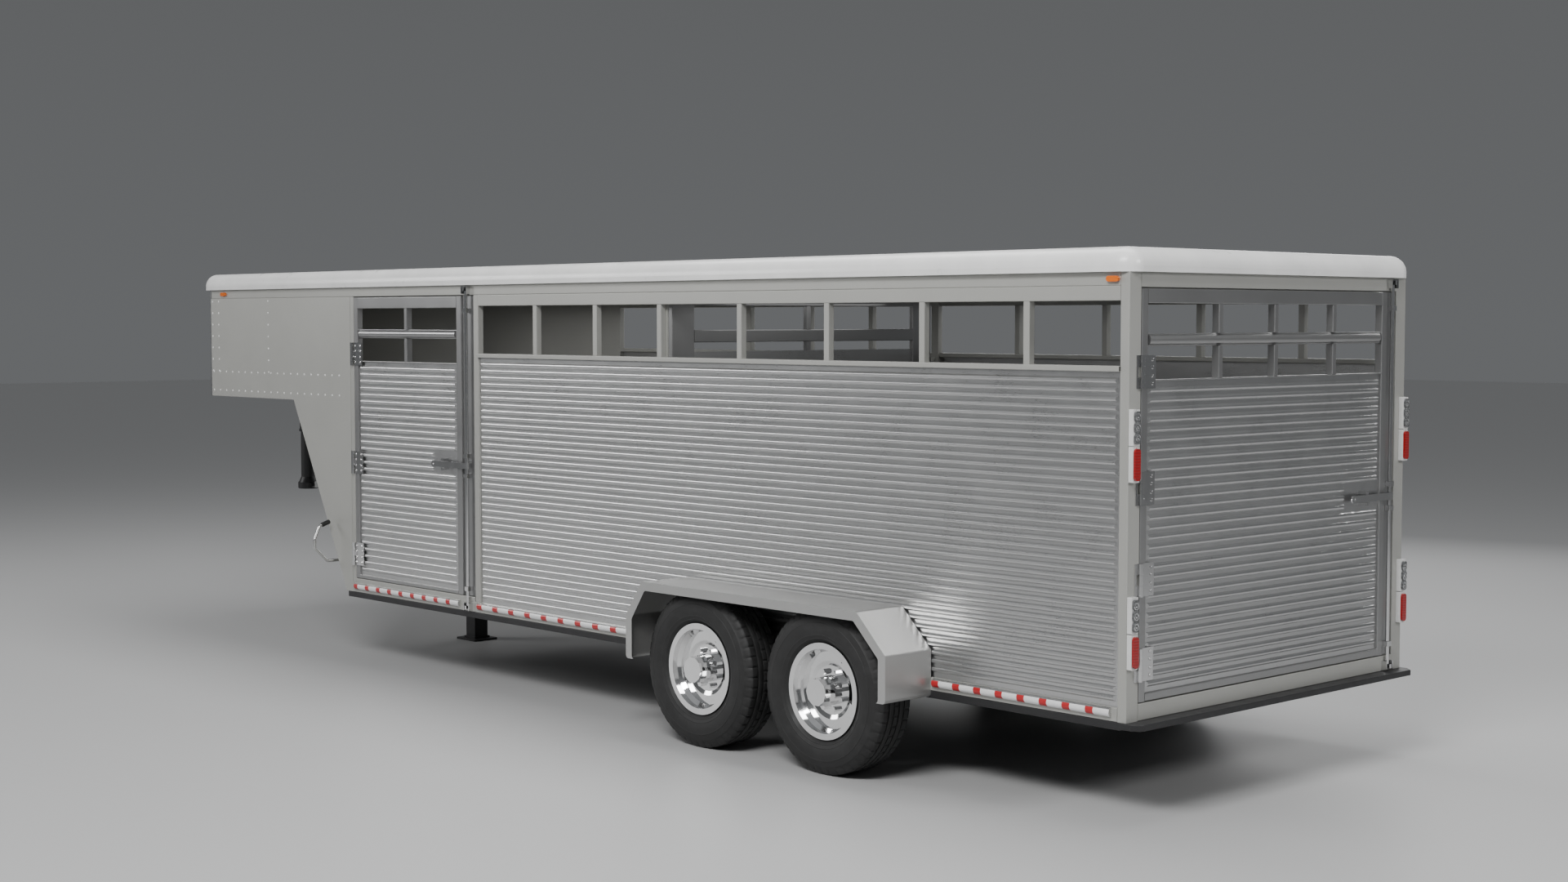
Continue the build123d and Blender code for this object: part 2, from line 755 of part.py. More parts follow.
# ---- rub rails: half-round bars along the bottom rails ----
rub_radius = (rub_top - rub_bottom) / 2
with BuildPart() as rub_rails:
    for side in (-1, 1):
        for rear, front in rub_stretches:
            rail_end = (-front, side * half_width, (rub_bottom + rub_top) / 2)
            with BuildSketch(plane_in(body, rail_end, (0, side, 0), (1, 0, 0))) as half_round:
                Circle(rub_radius)
                with Locations((-rub_radius, 0)):
                    Rectangle(2 * rub_radius, 2 * rub_radius, mode=Mode.SUBTRACT)
            extrude(half_round.sketch, amount=front - rear)
keep(rub_rails, "rub_rails")


def fender_face(frame, inset):
    """The fender's side outline, or that outline moved inwards."""
    with BuildSketch(frame) as outline:
        with BuildLine():
            Polyline(
                (-fender_front, fender_bottom), (-fender_front, fender_shoulder),
                (-fender_front_top, fender_top), (-fender_rear_top, fender_top),
                (-fender_rear, fender_shoulder), (-fender_rear, fender_bottom), close=True,
            )
        make_face()
        if inset:
            offset(amount=-inset, kind=Kind.INTERSECTION)
            with Locations((-(fender_front + fender_rear) / 2, fender_bottom + inset)):
                Rectangle(fender_front - fender_rear - 2 * inset, 2 * inset + 2)
        fillet(outline.vertices().group_by(Axis.Z)[-1], radius=fender_bend)
    return outline.sketch


for side, name in ((-1, "left"), (1, "right")):
    inner_plane = plane_in(body, (0, side * half_width, 0), (1, 0, 0), (0, -1, 0))
    outer_plane = plane_in(body, (0, side * (half_width + fender_reach), 0), (1, 0, 0), (0, -1, 0))
    with BuildPart() as fender:
        extrude(fender_face(inner_plane, 0), amount=-side * fender_reach)
        under_sheet = -side * (fender_reach - fender_sheet)
        extrude(fender_face(inner_plane, fender_sheet), amount=under_sheet, mode=Mode.SUBTRACT)
        extrude(fender_face(outer_plane, fender_lip), amount=side * fender_reach, mode=Mode.SUBTRACT)
    keep(fender, f"fender_{name}")

# ---- torsion axles: square tubes under the main rails ----
with BuildPart() as axles:
    for station in wheel_stations:
        x = -station - pivot_ahead
        half = axle_size / 2
        bar(
            body, (x - half, x + half), (axle_inset - half_width, half_width - axle_inset),
            (pivot_level - half, pivot_level + half),
            "y", axle_wall,
        )
keep(axles, "axles")


def torsion_arm(side, station):
    """A trailing arm: its splined bar in the axle, the link, and the wheel's spindle."""
    out = plane_in(body, (-station, side * arm_plane, wheel_level), (1, 0, 0), (0, side, 0))
    lean = arm_angle if out.y_dir.Z > 0 else -arm_angle
    middle = (-pivot_ahead / 2, (pivot_level - wheel_level) / 2 * out.y_dir.Z)
    with BuildSketch(out.offset(-arm_thickness / 2)) as link:
        with Locations(middle):
            SlotCenterToCenter(arm_length, arm_width, rotation=lean)
    extrude(link.sketch, amount=arm_thickness)
    pivot = (-pivot_ahead, (pivot_level - wheel_level) * out.y_dir.Z, -torsion_bar_length)
    rod(out, pivot, torsion_bar_radius, torsion_bar_length)
    disc_back = tyre_plane - arm_plane + rim_half_width - disc_depth - disc_thickness
    rod(out, (0, 0, 0), spindle_radius, disc_back - weld_gap)


def wheel_profile(side, station):
    """The half-plane in which a wheel's sections are drawn: x is the radius, y is outwards."""
    centre = (-station, side * tyre_plane, wheel_level)
    return plane_in(body, centre, (1, 0, 0), Vector(1, 0, 0).cross(Vector(0, side, 0)))


def tyre(side, station):
    """A radial tyre with four grooves round its tread."""
    profile = wheel_profile(side, station)
    axis = Axis(profile.origin, profile.y_dir)
    shoulder = tyre_radius - tyre_shoulder[0]
    shoulder_half = tyre_tread_half + tyre_shoulder[1]
    wall_start = rim_lip_radius + rim_flange_rise
    bulge = (wall_start + shoulder) / 2
    bead_half = rim_half_width - rim_thickness - bead_gap
    inner_half = tyre_half_width - tyre_wall
    inner_bead = bead_half - bead_width
    inner_tread = tyre_radius - tread_thickness
    inner_tread_half = tyre_tread_half - tread_edge_inset
    with BuildSketch(profile) as carcass:
        with BuildLine():
            for sign in (-1, 1):
                Line((bead_radius, sign * bead_half), (wall_start, sign * bead_half))
                ThreePointArc(
                    (wall_start, sign * bead_half), (bulge, sign * tyre_half_width),
                    (shoulder, sign * shoulder_half),
                )
                ThreePointArc(
                    (shoulder, sign * shoulder_half),
                    (tyre_radius - tyre_shoulder_round[0], sign * (tyre_tread_half + tyre_shoulder_round[1])),
                    (tyre_radius, sign * tyre_tread_half),
                )
                Line((bead_radius, sign * inner_bead), (wall_start, sign * inner_bead))
                ThreePointArc(
                    (wall_start, sign * inner_bead), (bulge, sign * inner_half),
                    (inner_tread, sign * inner_tread_half),
                )
                Line((bead_radius, sign * bead_half), (bead_radius, sign * inner_bead))
            Line((tyre_radius, -tyre_tread_half), (tyre_radius, tyre_tread_half))
            Line((inner_tread, -inner_tread_half), (inner_tread, inner_tread_half))
        make_face()
        with Locations(*[(tyre_radius, place) for place in groove_places]):
            Rectangle(2 * groove_depth, groove_width, mode=Mode.SUBTRACT)
    revolve(carcass.sketch, axis=axis)


def wheel_disc(side, station):
    """A pressed wheel: rim, dished disc with windows, hub, wheel nuts and a faceted cap."""
    profile = wheel_profile(side, station)
    axis = Axis(profile.origin, profile.y_dir)
    centre = (-station, side * tyre_plane, wheel_level)
    middle = plane_in(body, centre, (1, 0, 0), (0, side, 0))
    lip, seat, inside = rim_half_width, bead_radius - weld_gap, bead_radius - rim_thickness
    disc_face = lip - disc_depth
    disc_back = disc_face - disc_thickness
    well_front, well_seat = inside - rim_well_depth, seat - rim_well_depth
    with BuildSketch(profile) as rim:
        with BuildLine():
            Polyline(
                (rim_lip_radius, -lip), (inside, -lip), (well_front, -lip + rim_well_lead),
                (well_front, -rim_well_end), (inside, disc_back), (inside, lip), (rim_lip_radius, lip),
                (rim_lip_radius, lip - rim_thickness), (seat, lip - rim_thickness - 1),
                (seat, disc_back - rim_well_wall), (well_seat, -rim_well_end - rim_well_round),
                (well_seat, -lip + rim_well_lead + rim_well_wall), (seat, -lip + rim_thickness + 1),
                (rim_lip_radius, -lip + rim_thickness), close=True,
            )
        make_face()
    revolve(rim.sketch, axis=axis)
    with BuildSketch(profile) as disc:
        with BuildLine():
            Polyline(
                (0, disc_back), (0, disc_face), (hub_plate_radius, disc_face),
                (hub_plate_radius + disc_front_bend[0], disc_face + disc_front_bend[1]),
                (inside - disc_front_shoulder[0], disc_face + disc_front_shoulder[1]),
                (inside + 1, disc_face + disc_edge[1]), (inside + 1, disc_face + disc_edge[0]),
                (inside - disc_back_shoulder[0], disc_back + disc_back_shoulder[1]),
                (hub_plate_radius + disc_back_bend, disc_back), close=True,
            )
        make_face()
    revolve(disc.sketch, axis=axis)
    rod(middle, (0, 0, disc_face - hub_depth), hub_radius, hub_depth - disc_thickness)
    with BuildSketch(middle.offset(disc_back - 2)) as windows:
        with PolarLocations(0, window_count, start_angle=90):
            with BuildLine():
                half_inner, half_outer = (radians(angle) for angle in window_half_angles)
                Polyline(
                    (window_inner * cos(half_inner), -window_inner * sin(half_inner)),
                    (window_outer * cos(half_outer), -window_outer * sin(half_outer)),
                    (window_outer + window_bulge, 0),
                    (window_outer * cos(half_outer), window_outer * sin(half_outer)),
                    (window_inner * cos(half_inner), window_inner * sin(half_inner)), close=True,
                )
            make_face()
        fillet(windows.vertices(), radius=window_corner)
    extrude(windows.sketch, amount=disc_depth, mode=Mode.SUBTRACT)
    with BuildSketch(middle.offset(disc_face)) as nuts:
        with PolarLocations(stud_circle_radius, stud_count, start_angle=180 / stud_count):
            RegularPolygon(nut_radius, 6)
    extrude(nuts.sketch, amount=nut_length)
    with BuildSketch(middle.offset(disc_face)) as cap:
        RegularPolygon(cap_radius + cap_spread, cap_sides)
    extrude(cap.sketch, amount=disc_depth + cap_reach, taper=cap_taper)
    rod(
        middle, (0, 0, disc_face - hub_depth - 1), spindle_radius + spindle_clearance,
        hub_depth - disc_thickness + 1, mode=Mode.SUBTRACT,
    )


for side, side_name in ((-1, "left"), (1, "right")):
    for station, place_name in zip(wheel_stations, wheel_names):
        with BuildPart() as wheel_tyre:
            tyre(side, station)
        keep(wheel_tyre, f"tyre_{side_name}_{place_name}")
        with BuildPart() as wheel:
            wheel_disc(side, station)
        keep(wheel, f"wheel_{side_name}_{place_name}")
        with BuildPart() as arm:
            torsion_arm(side, station)
        keep(arm, f"torsion_arm_{side_name}_{place_name}")

# ---- lamps on the rear posts, and amber markers on the top rails ----
with BuildPart() as lamp_housings:
    for side in (-1, 1):
        across = (side * (lamp_plane - lamp_width / 2), side * (lamp_plane + lamp_width / 2))
        for low, high in clear_lenses + red_lenses:
            bar(body, (0, lamp_depth), across, (low - lamp_margin, high + lamp_margin), "x")
keep(lamp_housings, "lamp_housings")


def lenses(spans, elements):
    """Lenses standing on the rear lamp housings, each divided into a few rounded elements."""
    for side in (-1, 1):
        for low, high in spans:
            face = plane_in(body, (lamp_depth, side * lamp_plane, 0), (0, 1, 0), (1, 0, 0))
            step = (high - low) / elements
            with BuildSketch(face) as outline:
                for element in range(elements):
                    with Locations((0, low + (element + 0.5) * step)):
                        RectangleRounded(lens_width, step - lens_gap, lens_round * lens_width)
                with Locations((0, (low + high) / 2)):
                    Rectangle(lens_width / 2, high - low - lens_width)
            extrude(outline.sketch, amount=lens_reach)


with BuildPart() as lamps_clear:
    lenses(clear_lenses, 3)
keep(lamps_clear, "lamps_clear")

with BuildPart() as lamps_red:
    lenses(red_lenses, 1)
keep(lamps_red, "lamps_red")

with BuildPart() as marker_lamps:
    for side in (-1, 1):
        face = plane_in(body, (0, side * half_width, 0), (1, 0, 0), (0, -1, 0))
        marker_places = (-marker_margins[0], marker_margins[1] - straight_length)
        with BuildSketch(face) as marker:
            with Locations(*[(place, wall_height - marker_drop) for place in marker_places]):
                SlotOverall(marker_length, marker_height)
        extrude(marker.sketch, amount=-side * marker_reach)
keep(marker_lamps, "marker_lamps")

# ---- coupler: a round tube that slides in a receiver, with a ball socket and a latch ----
coupler = plane_in(body, (-coupler_station, 0, 0), (1, 0, 0), (0, 0, 1))
with BuildPart() as coupler_receiver:
    rod(coupler, (0, 0, receiver_bottom), receiver_radius, receiver_top - receiver_bottom)
    flange_bottom = nose_floor_height - mount_flange_thickness
    rod(coupler, (0, 0, flange_bottom), mount_flange_radius, mount_flange_thickness)
    rod(coupler, (0, 0, receiver_bottom), receiver_radius + receiver_collar, receiver_collar_height)
    for rise in set_bolt_rises:
        bolt_seat = (receiver_radius - 2 * skin, 0, receiver_bottom + rise)
        with BuildSketch(plane_in(coupler, bolt_seat, (0, 1, 0), (1, 0, 0))) as head:
            RegularPolygon(set_bolt_size / 2, 6)
        extrude(head.sketch, amount=set_bolt_reach)
    rod(
        coupler, (0, 0, receiver_bottom - 1), coupler_tube_radius + coupler_tube_clearance,
        receiver_top - receiver_bottom + 2, mode=Mode.SUBTRACT,
    )
keep(coupler_receiver, "coupler_receiver")

with BuildPart() as coupler_tube:
    block_top = coupler_bottom + coupler_block_height
    rod(coupler, (0, 0, block_top), coupler_tube_radius, coupler_tube_top - block_top)
    rod(
        coupler, (0, 0, block_top + coupler_cone_height), coupler_tube_radius - coupler_tube_wall,
        coupler_tube_top, mode=Mode.SUBTRACT,
    )
    rod(coupler, (0, 0, coupler_bottom), coupler_block_radius, coupler_block_height)
    chamfer(coupler_tube.edges().group_by(Axis.Z)[0], length=edge_radius)
    with Locations(coupler.location * Pos(0, 0, block_top + coupler_cone_height / 2)):
        Cone(coupler_block_radius - edge_radius, coupler_tube_radius, coupler_cone_height)
    rod(coupler, (0, 0, coupler_bottom - 1), socket_radius, socket_depth + 1, mode=Mode.SUBTRACT)
    with Locations(coupler.location * Pos(0, 0, coupler_bottom + socket_depth)):
        Cone(
            socket_radius, socket_top_radius, socket_radius / 2,
            align=(Align.CENTER, Align.CENTER, Align.MIN), mode=Mode.SUBTRACT,
        )
    latch_bottom = coupler_bottom + latch_level
    slot_half = latch_width / 2 + latch_clearance
    block(
        coupler, (0, coupler_block_radius + 1), (-slot_half, slot_half),
        (latch_bottom - latch_clearance, latch_bottom + latch_thickness + latch_clearance),
        mode=Mode.SUBTRACT,
    )
keep(coupler_tube, "coupler_tube")

with BuildPart() as coupler_latch:
    latch_start = socket_radius + latch_socket_gap
    across = (-latch_width / 2, latch_width / 2)
    block(coupler, (latch_start, latch_reach), across, (latch_bottom, latch_bottom + latch_thickness))
    block(
        coupler, (latch_reach - latch_thickness, latch_reach), across,
        (latch_bottom, latch_bottom + latch_handle_height),
    )
    fillet(coupler_latch.edges().filter_by(Axis.Y).sort_by(Axis.Z)[-1], radius=latch_round)
keep(coupler_latch, "coupler_latch")

# ---- jack: housing with gearbox and bracket, sliding leg with its foot, crank and grip ----
jack = plane_in(body, (-jack_station, 0, 0), (1, 0, 0), (0, 0, 1))
leg_half = jack_leg_size / 2
bore_half = leg_half + jack_leg_clearance
housing_half = bore_half + jack_housing_wall
with BuildPart() as jack_housing:
    bar(jack, (-housing_half, housing_half), (-housing_half, housing_half), (0, jack_housing_top), "z")
    back_gap = jack_station - pocket_back - panel_sheet
    lug_width = (-jack_lug_half_width, jack_lug_half_width)
    for low in jack_lug_levels:
        block(jack, (housing_half, back_gap), lug_width, (low, low + jack_lug_height))
    gear_low, gear_high = crank_level - gearbox_size / 2, crank_level + gearbox_size / 2
    block(
        jack, (-gearbox_size / 2, gearbox_size / 2), (-housing_half - gearbox_reach, -housing_half),
        (gear_low, gear_high),
    )
    block(
        jack, (-bore_half, bore_half), (-bore_half, bore_half), (-1, jack_housing_top - jack_cap),
        mode=Mode.SUBTRACT,
    )
    bracket_low, bracket_high = crank_level - crank_bracket_width, crank_level + crank_bracket_width
    bracket_side = plane_in(body, (0, crank_bracket_inset - half_width, 0), (1, 0, 0), (0, -1, 0))
    with BuildSketch(bracket_side) as bracket:
        with BuildLine():
            Polyline(
                (-jack_station - crank_bracket_width, bracket_low),
                (-jack_station - crank_bracket_width, bracket_high),
                (-floor_length - slope * bracket_high, bracket_high),
                (-floor_length - slope * bracket_low, bracket_low), close=True,
            )
        make_face()
    extrude(bracket.sketch, amount=crank_bracket_width / 2, both=True)
    rod(
        jack, (0, -half_width, crank_level), crank_radius + crank_clearance,
        half_width - housing_half - 2, "y", mode=Mode.SUBTRACT,
    )
keep(jack_housing, "jack_housing")

with BuildPart() as jack_leg:
    foot_low = -ride_height
    bar(
        jack, (-leg_half, leg_half), (-leg_half, leg_half), (foot_low + foot_thickness, jack_leg_top), "z",
        jack_leg_wall,
    )
    with BuildSketch(jack.offset(foot_low)) as foot:
        Rectangle(foot_length, foot_width)
        chamfer(foot.vertices(), length=edge_radius * 2)
    extrude(foot.sketch, amount=foot_thickness)
    collar_half = leg_half + foot_collar
    block(
        jack, (-collar_half, collar_half), (-collar_half, collar_half),
        (foot_low + foot_thickness, foot_low + 2 * foot_thickness),
    )
keep(jack_leg, "jack_leg")

crank_side = plane_in(body, (-jack_station, 0, crank_level), (0, -1, 0), (1, 0, 0))
crank_up = crank_side.y_dir.Z
bow_points = [(half_width + out, crank_up * up) for out, up in crank_bow]
bow_end = Vector(*bow_points[-1])
grip_stop = Vector(half_width + grip_end[0], crank_up * grip_end[1])
grip_line = (grip_stop - bow_end).normalized()
grip_start = bow_end + grip_line * crank_tail
with BuildPart() as jack_crank:
    shaft_start = housing_half + 2 * jack_housing_wall
    with BuildLine(crank_side):
        FilletPolyline((shaft_start, 0), *bow_points, (grip_start.X, grip_start.Y), radius=crank_bend)
    with BuildSketch(plane_in(crank_side, (shaft_start, 0, 0), (0, 0, 1), (0, -1, 0))):
        Circle(crank_radius)
    sweep()
keep(jack_crank, "jack_crank")

with BuildPart() as crank_grip:
    grip_axis = crank_side.x_dir * grip_line.X + crank_side.y_dir * grip_line.Y
    with BuildSketch(plane_in(crank_side, (grip_start.X, grip_start.Y, 0), (1, 0, 0), grip_axis)):
        Circle(grip_radius)
    extrude(amount=(grip_stop - grip_start).length)
    fillet(crank_grip.edges(), radius=edge_radius)
keep(crank_grip, "crank_grip")


# ---- doors: both are drawn alike, in a frame whose x runs from the hinge edge to the free edge ----
def door_frame(frame, width, lock_left, bottom, top, bars):
    """Stiles, rails and window bars, as separate members."""
    depth = (-door_depth, 0)
    bar(frame, (0, hinge_stile), (bottom, top), depth, "y", tube_wall)
    bar(frame, (lock_left, lock_left + lock_stile), (bottom, top), depth, "y", tube_wall)
    strip = (lock_left + lock_stile + weld_gap, width)
    bar(frame, strip, (bottom, top), (-door_depth, -lock_strip_inset), "y", tube_wall)
    inner = (hinge_stile + weld_gap, lock_left - weld_gap)
    bar(frame, inner, (door_window_top, top), depth, "x", tube_wall)
    bar(frame, inner, (bottom, door_panel_bottom), depth, "x", tube_wall)
    bar(frame, inner, (door_panel_top - door_ledge, door_panel_top), depth, "x")
    bar(frame, inner, (door_rail_bottom, door_rail_top), (-door_depth, -panel_inset), "x", tube_wall)
    rail_face = plane_in(frame, (inner[0] + rib_end_inset, 0, -panel_inset), frame.y_dir, frame.x_dir)
    rail_middle = (door_rail_bottom + door_rail_top) / 2
    with BuildSketch(rail_face) as boss:
        with Locations((rail_middle, -rib_height)):
            Circle(rib_width - boss_trim)
        with Locations((rail_middle, -2 * rib_width)):
            Rectangle(4 * rib_width, 4 * rib_width, mode=Mode.SUBTRACT)
    extrude(boss.sketch, amount=inner[1] - inner[0] - 2 * rib_end_inset)
    for place in bars:
        across = (place - door_bar_width / 2, place + door_bar_width / 2)
        bar(frame, across, (door_rail_top + weld_gap, door_window_top - weld_gap), depth, "y", tube_wall)
        bar(frame, across, (door_panel_top + weld_gap, door_rail_bottom - weld_gap), depth, "y", tube_wall)


def door_panel(frame, width, lock_left):
    """The ribbed lower panel. Three ribs stop short of the handle."""
    x = (hinge_stile + weld_gap, lock_left - weld_gap)
    top = door_panel_top - door_ledge - weld_gap
    block(frame, x, (door_panel_bottom + weld_gap, top), (-panel_inset - panel_sheet, -panel_inset))
    rows = rib_rows(door_panel_bottom, top, door_rib_pitch)
    short = sorted(rows, key=lambda row: abs(row - handle_height))[:3]
    start = x[0] + rib_end_inset
    stop = width - lock_bar_edge - handle_length - rib_end_inset
    below = [row for row in rows if row < min(short)]
    above = [row for row in rows if row > max(short)]
    ribs(frame, (start, x[1] - rib_end_inset), below, -panel_inset)
    ribs(frame, (start, x[1] - rib_end_inset), above, -panel_inset)
    ribs(frame, (start, stop), short, -panel_inset)


def door_hinges(frame, heights):
    """Straps on the door, each with the middle knuckle of a hinge."""
    for height in heights:
        strap = (height - hinge_height / 2, height + hinge_height / 2)
        block(frame, (strap_start, strap_length), strap, (0, leaf_thickness))
        low = height - middle_knuckle / 2
        plate = (leaf_thickness / 2, hinge_stand - knuckle_plate_drop)
        block(frame, (-hinge_offset, strap_start), (low, low + middle_knuckle), plate)
        rod(frame, (-hinge_offset, low, hinge_stand), knuckle_radius, middle_knuckle, "y")
        rod(
            frame, (-hinge_offset, low - 1, hinge_stand), hinge_pin_radius + pin_clearance,
            middle_knuckle + 2, "y", mode=Mode.SUBTRACT,
        )


def post_leaves(frame, heights):
    """Leaves on the post, each with the two outer knuckles of a hinge and its pin."""
    for height in heights:
        low, high = height - hinge_height / 2, height + hinge_height / 2
        cut = middle_knuckle / 2 + knuckle_gap
        back = -hinge_offset - knuckle_radius - leaf_width
        block(frame, (back, -hinge_offset), (low, high), (0, leaf_thickness))
        block(
            frame, (-hinge_offset - 2 * knuckle_radius, 0), (height - cut, height + cut),
            (-1, knuckle_radius), mode=Mode.SUBTRACT,
        )
        for start, length in ((low, hinge_height / 2 - cut), (height + cut, hinge_height / 2 - cut)):
            rod(frame, (-hinge_offset, start, hinge_stand), knuckle_radius, length, "y")
        rod(frame, (-hinge_offset, low, hinge_stand), hinge_pin_radius, hinge_height, "y")


def lock_guides(frame, width):
    """Guide blocks that hold the lock bar, and the hasp that the handle rests in."""
    axis = width - lock_bar_edge
    for height in guide_heights:
        bar(
            frame, (axis - guide_width / 2, axis + guide_width / 2),
            (height - guide_height / 2, height + guide_height / 2), (-lock_strip_inset, guide_front), "y",
        )
    hasp = axis - hasp_distance
    for level in (-1, 1):
        edge = handle_height + level * (handle_width / 2 + hasp_gap)
        block(
            frame, (hasp - hasp_half_width, hasp + hasp_half_width), (edge, edge + level * hasp_height),
            (-panel_inset, guide_front + hasp_reach),
        )
    rod(
        frame, (axis, guide_heights[0] - guide_height, lock_bar_stand), lock_bar_radius + pin_clearance,
        guide_heights[-1] - guide_heights[0] + 2 * guide_height, "y", mode=Mode.SUBTRACT,
    )


def lock_bar(frame, width):
    """The lock bar with a cam at each end and its handle."""
    axis = width - lock_bar_edge
    rod(frame, (axis, lock_bar_inset, lock_bar_stand), lock_bar_radius, lock_bar_top - lock_bar_inset, "y")
    for start in (lock_bar_inset, lock_bar_top - cam_height):
        block(
            frame, (axis - cam_half_width, axis + cam_half_width), (start, start + cam_height),
            (lock_bar_stand, lock_bar_stand + cam_radius),
        )
    low = handle_height - handle_width / 2
    rod(frame, (axis, low, lock_bar_stand), handle_collar, handle_width, "y")
    handle_level = lock_bar_stand + handle_stand
    grip = plane_in(frame, (axis - handle_length / 2, handle_height, handle_level), frame.x_dir, frame.z_dir)
    with BuildSketch(grip) as blade:
        SlotOverall(handle_length, handle_width)
    extrude(blade.sketch, amount=handle_thickness)
    rod(
        frame, (axis - handle_length + handle_eye_inset, handle_height, handle_level), handle_eye_radius,
        handle_thickness + 2, "z", mode=Mode.SUBTRACT,
    )


def keepers(frame, width, top_plane, bottom_plane):
    """Cheeks beside the lock bar's cams, on the header and on the sill."""
    axis = width - lock_bar_edge
    room = cam_radius + keeper_clearance
    for low, high in (top_plane, bottom_plane):
        for side in (-1, 1):
            across = (axis + side * room, axis + side * (room + keeper_wall))
            block(frame, across, (low, high), (0, keeper_depth))
        back = (axis - room - keeper_wall, axis + room + keeper_wall)
        block(frame, back, (low, high), (0, keeper_back))


top_keeper = (wall_height - keeper_margin - keeper_height, wall_height - keeper_margin)
bottom_keeper = (keeper_margin, keeper_margin + keeper_height)
doors = (
    ("rear_door", rear_door, rear_door_width, rear_lock_edge, rear_door_bottom, rear_door_drop),
    ("escape_door", escape_door, escape_door_width, escape_lock_edge, escape_door_bottom, escape_door_drop),
)
rear_hinge_heights = [share * wall_height for share in rear_hinge_shares]
escape_hinge_heights = [share * wall_height for share in escape_hinge_shares]
rear_door_bars = [share * rear_door_width for share in rear_door_bar_shares]
for (name, frame, width, lock_edge, bottom, drop), heights in zip(
    doors, (rear_hinge_heights, escape_hinge_heights)
):
    lock_left = width - lock_edge - lock_stile
    bars = rear_door_bars if frame is rear_door else ((hinge_stile + lock_left) / 2,)
    with BuildPart() as members:
        door_frame(frame, width, lock_left, bottom, wall_height - drop, bars)
    keep(members, f"{name}_frame")
    with BuildPart() as panel:
        door_panel(frame, width, lock_left)
    keep(panel, f"{name}_panel")
    with BuildPart() as straps:
        door_hinges(frame, heights)
    keep(straps, f"{name}_hinges")
    with BuildPart() as guides:
        lock_guides(frame, width)
    keep(guides, f"{name}_guides")
    with BuildPart() as lock:
        lock_bar(frame, width)
    keep(lock, f"{name}_lock_bar")

with BuildPart() as hinge_leaves:
    post_leaves(rear_door, rear_hinge_heights)
    post_leaves(escape_door, escape_hinge_heights)
keep(hinge_leaves, "hinge_leaves")

with BuildPart() as lock_keepers:
    keepers(rear_door, rear_door_width, top_keeper, bottom_keeper)
    keepers(escape_door, escape_door_width, top_keeper, bottom_keeper)
keep(lock_keepers, "lock_keepers")

# ---- centre gate: hinged at the right wall, with a sliding bolt at the left one ----
gate_width = gate_axis + half_width - post_depth - gate_free_gap
gate_depth = (-gate_thickness / 2, gate_thickness / 2)
with BuildPart() as gate_frame:
    for x in ((gate_start, gate_start + gate_stile), (gate_width - gate_stile, gate_width)):
        bar(gate, x, (gate_bottom, gate_top), gate_depth, "y", tube_wall)
    inner = (gate_start + gate_stile + weld_gap, gate_width - gate_stile - weld_gap)
    for low, high in (
        (gate_bottom, gate_bottom + gate_rail), (gate_rail_bottom, gate_rail_top),
        (gate_top - gate_rail, gate_top),
    ):
        bar(gate, inner, (low, high), gate_depth, "x", tube_wall)
    middle = (gate_start + gate_width) / 2
    across = (middle - gate_bar_width / 2, middle + gate_bar_width / 2)
    bar(
        gate, across, (gate_rail_top + weld_gap, gate_top - gate_rail - weld_gap), gate_depth, "y", tube_wall,
    )
    bar(
        gate, across, (gate_panel_top + weld_gap, gate_rail_bottom - weld_gap), gate_depth, "y", tube_wall,
    )
    for height in gate_hinge_heights:
        low = height - middle_knuckle / 2
        block(gate, (0, gate_start), (low, low + middle_knuckle), (-gate_plate_half, gate_plate_half))
        rod(gate, (0, low, 0), gate_knuckle_radius, middle_knuckle, "y")
        rod(
            gate, (0, low - 1, 0), hinge_pin_radius + pin_clearance, middle_knuckle + 2, "y",
            mode=Mode.SUBTRACT,
        )
    bolt_hole = gate_bolt_radius + pin_clearance
    rod(
        gate, (gate_width - gate_stile - 1, gate_latch_height, 0), bolt_hole, gate_stile + 2, "x",
        mode=Mode.SUBTRACT,
    )
keep(gate_frame, "gate_frame")

with BuildPart() as gate_panel:
    low, high = gate_bottom + gate_rail + weld_gap, gate_panel_top
    block(gate, inner, (low, high), (-panel_sheet / 2, panel_sheet / 2))
    rows = rib_rows(low, high, 2 * wall_rib_pitch)
    ribs(gate, (inner[0] + rib_end_inset, inner[1] - rib_end_inset), rows, panel_sheet / 2)
keep(gate_panel, "gate_panel")

with BuildPart() as gate_latch:
    bolt_start = gate_width - gate_stile + 2 * tube_wall + gate_bolt_travel
    rod(
        gate, (bolt_start, gate_latch_height, 0), gate_bolt_radius,
        gate_width + gate_bolt_reach - bolt_start, "x",
    )
keep(gate_latch, "gate_latch")

with BuildPart() as gate_posts:
    post_x = (-gate_post_width / 2, gate_post_width / 2)
    right_face = gate_axis - (half_width - post_depth)
    left_face = gate_axis + half_width - post_depth
    block(gate, (right_face, right_face + gate_post_thickness), (bottom_rail_height, top_rail_bottom), post_x)
    block(gate, (left_face - gate_post_thickness, left_face), (bottom_rail_height, top_rail_bottom), post_x)
    for height in gate_hinge_heights:
        cut = middle_knuckle / 2 + knuckle_gap
        for start in (height + cut, height - cut - middle_knuckle / 2):
            rod(gate, (0, start, 0), gate_knuckle_radius, middle_knuckle / 2, "y")
            block(
                gate, (right_face, 0), (start, start + middle_knuckle / 2), (-gate_leaf_half, gate_leaf_half),
            )
        pin_low = height - cut - middle_knuckle / 2
        rod(gate, (0, pin_low, 0), hinge_pin_radius, 2 * (cut + middle_knuckle / 2), "y")
    for level in (-1, 1):
        edge = gate_latch_height + level * (gate_bolt_radius + hasp_gap)
        block(
            gate, (left_face - gate_post_thickness - gate_jaw_depth, left_face - gate_post_thickness),
            (edge, edge + level * gate_jaw_width), (-gate_jaw_depth, gate_jaw_depth),
        )
keep(gate_posts, "gate_posts")
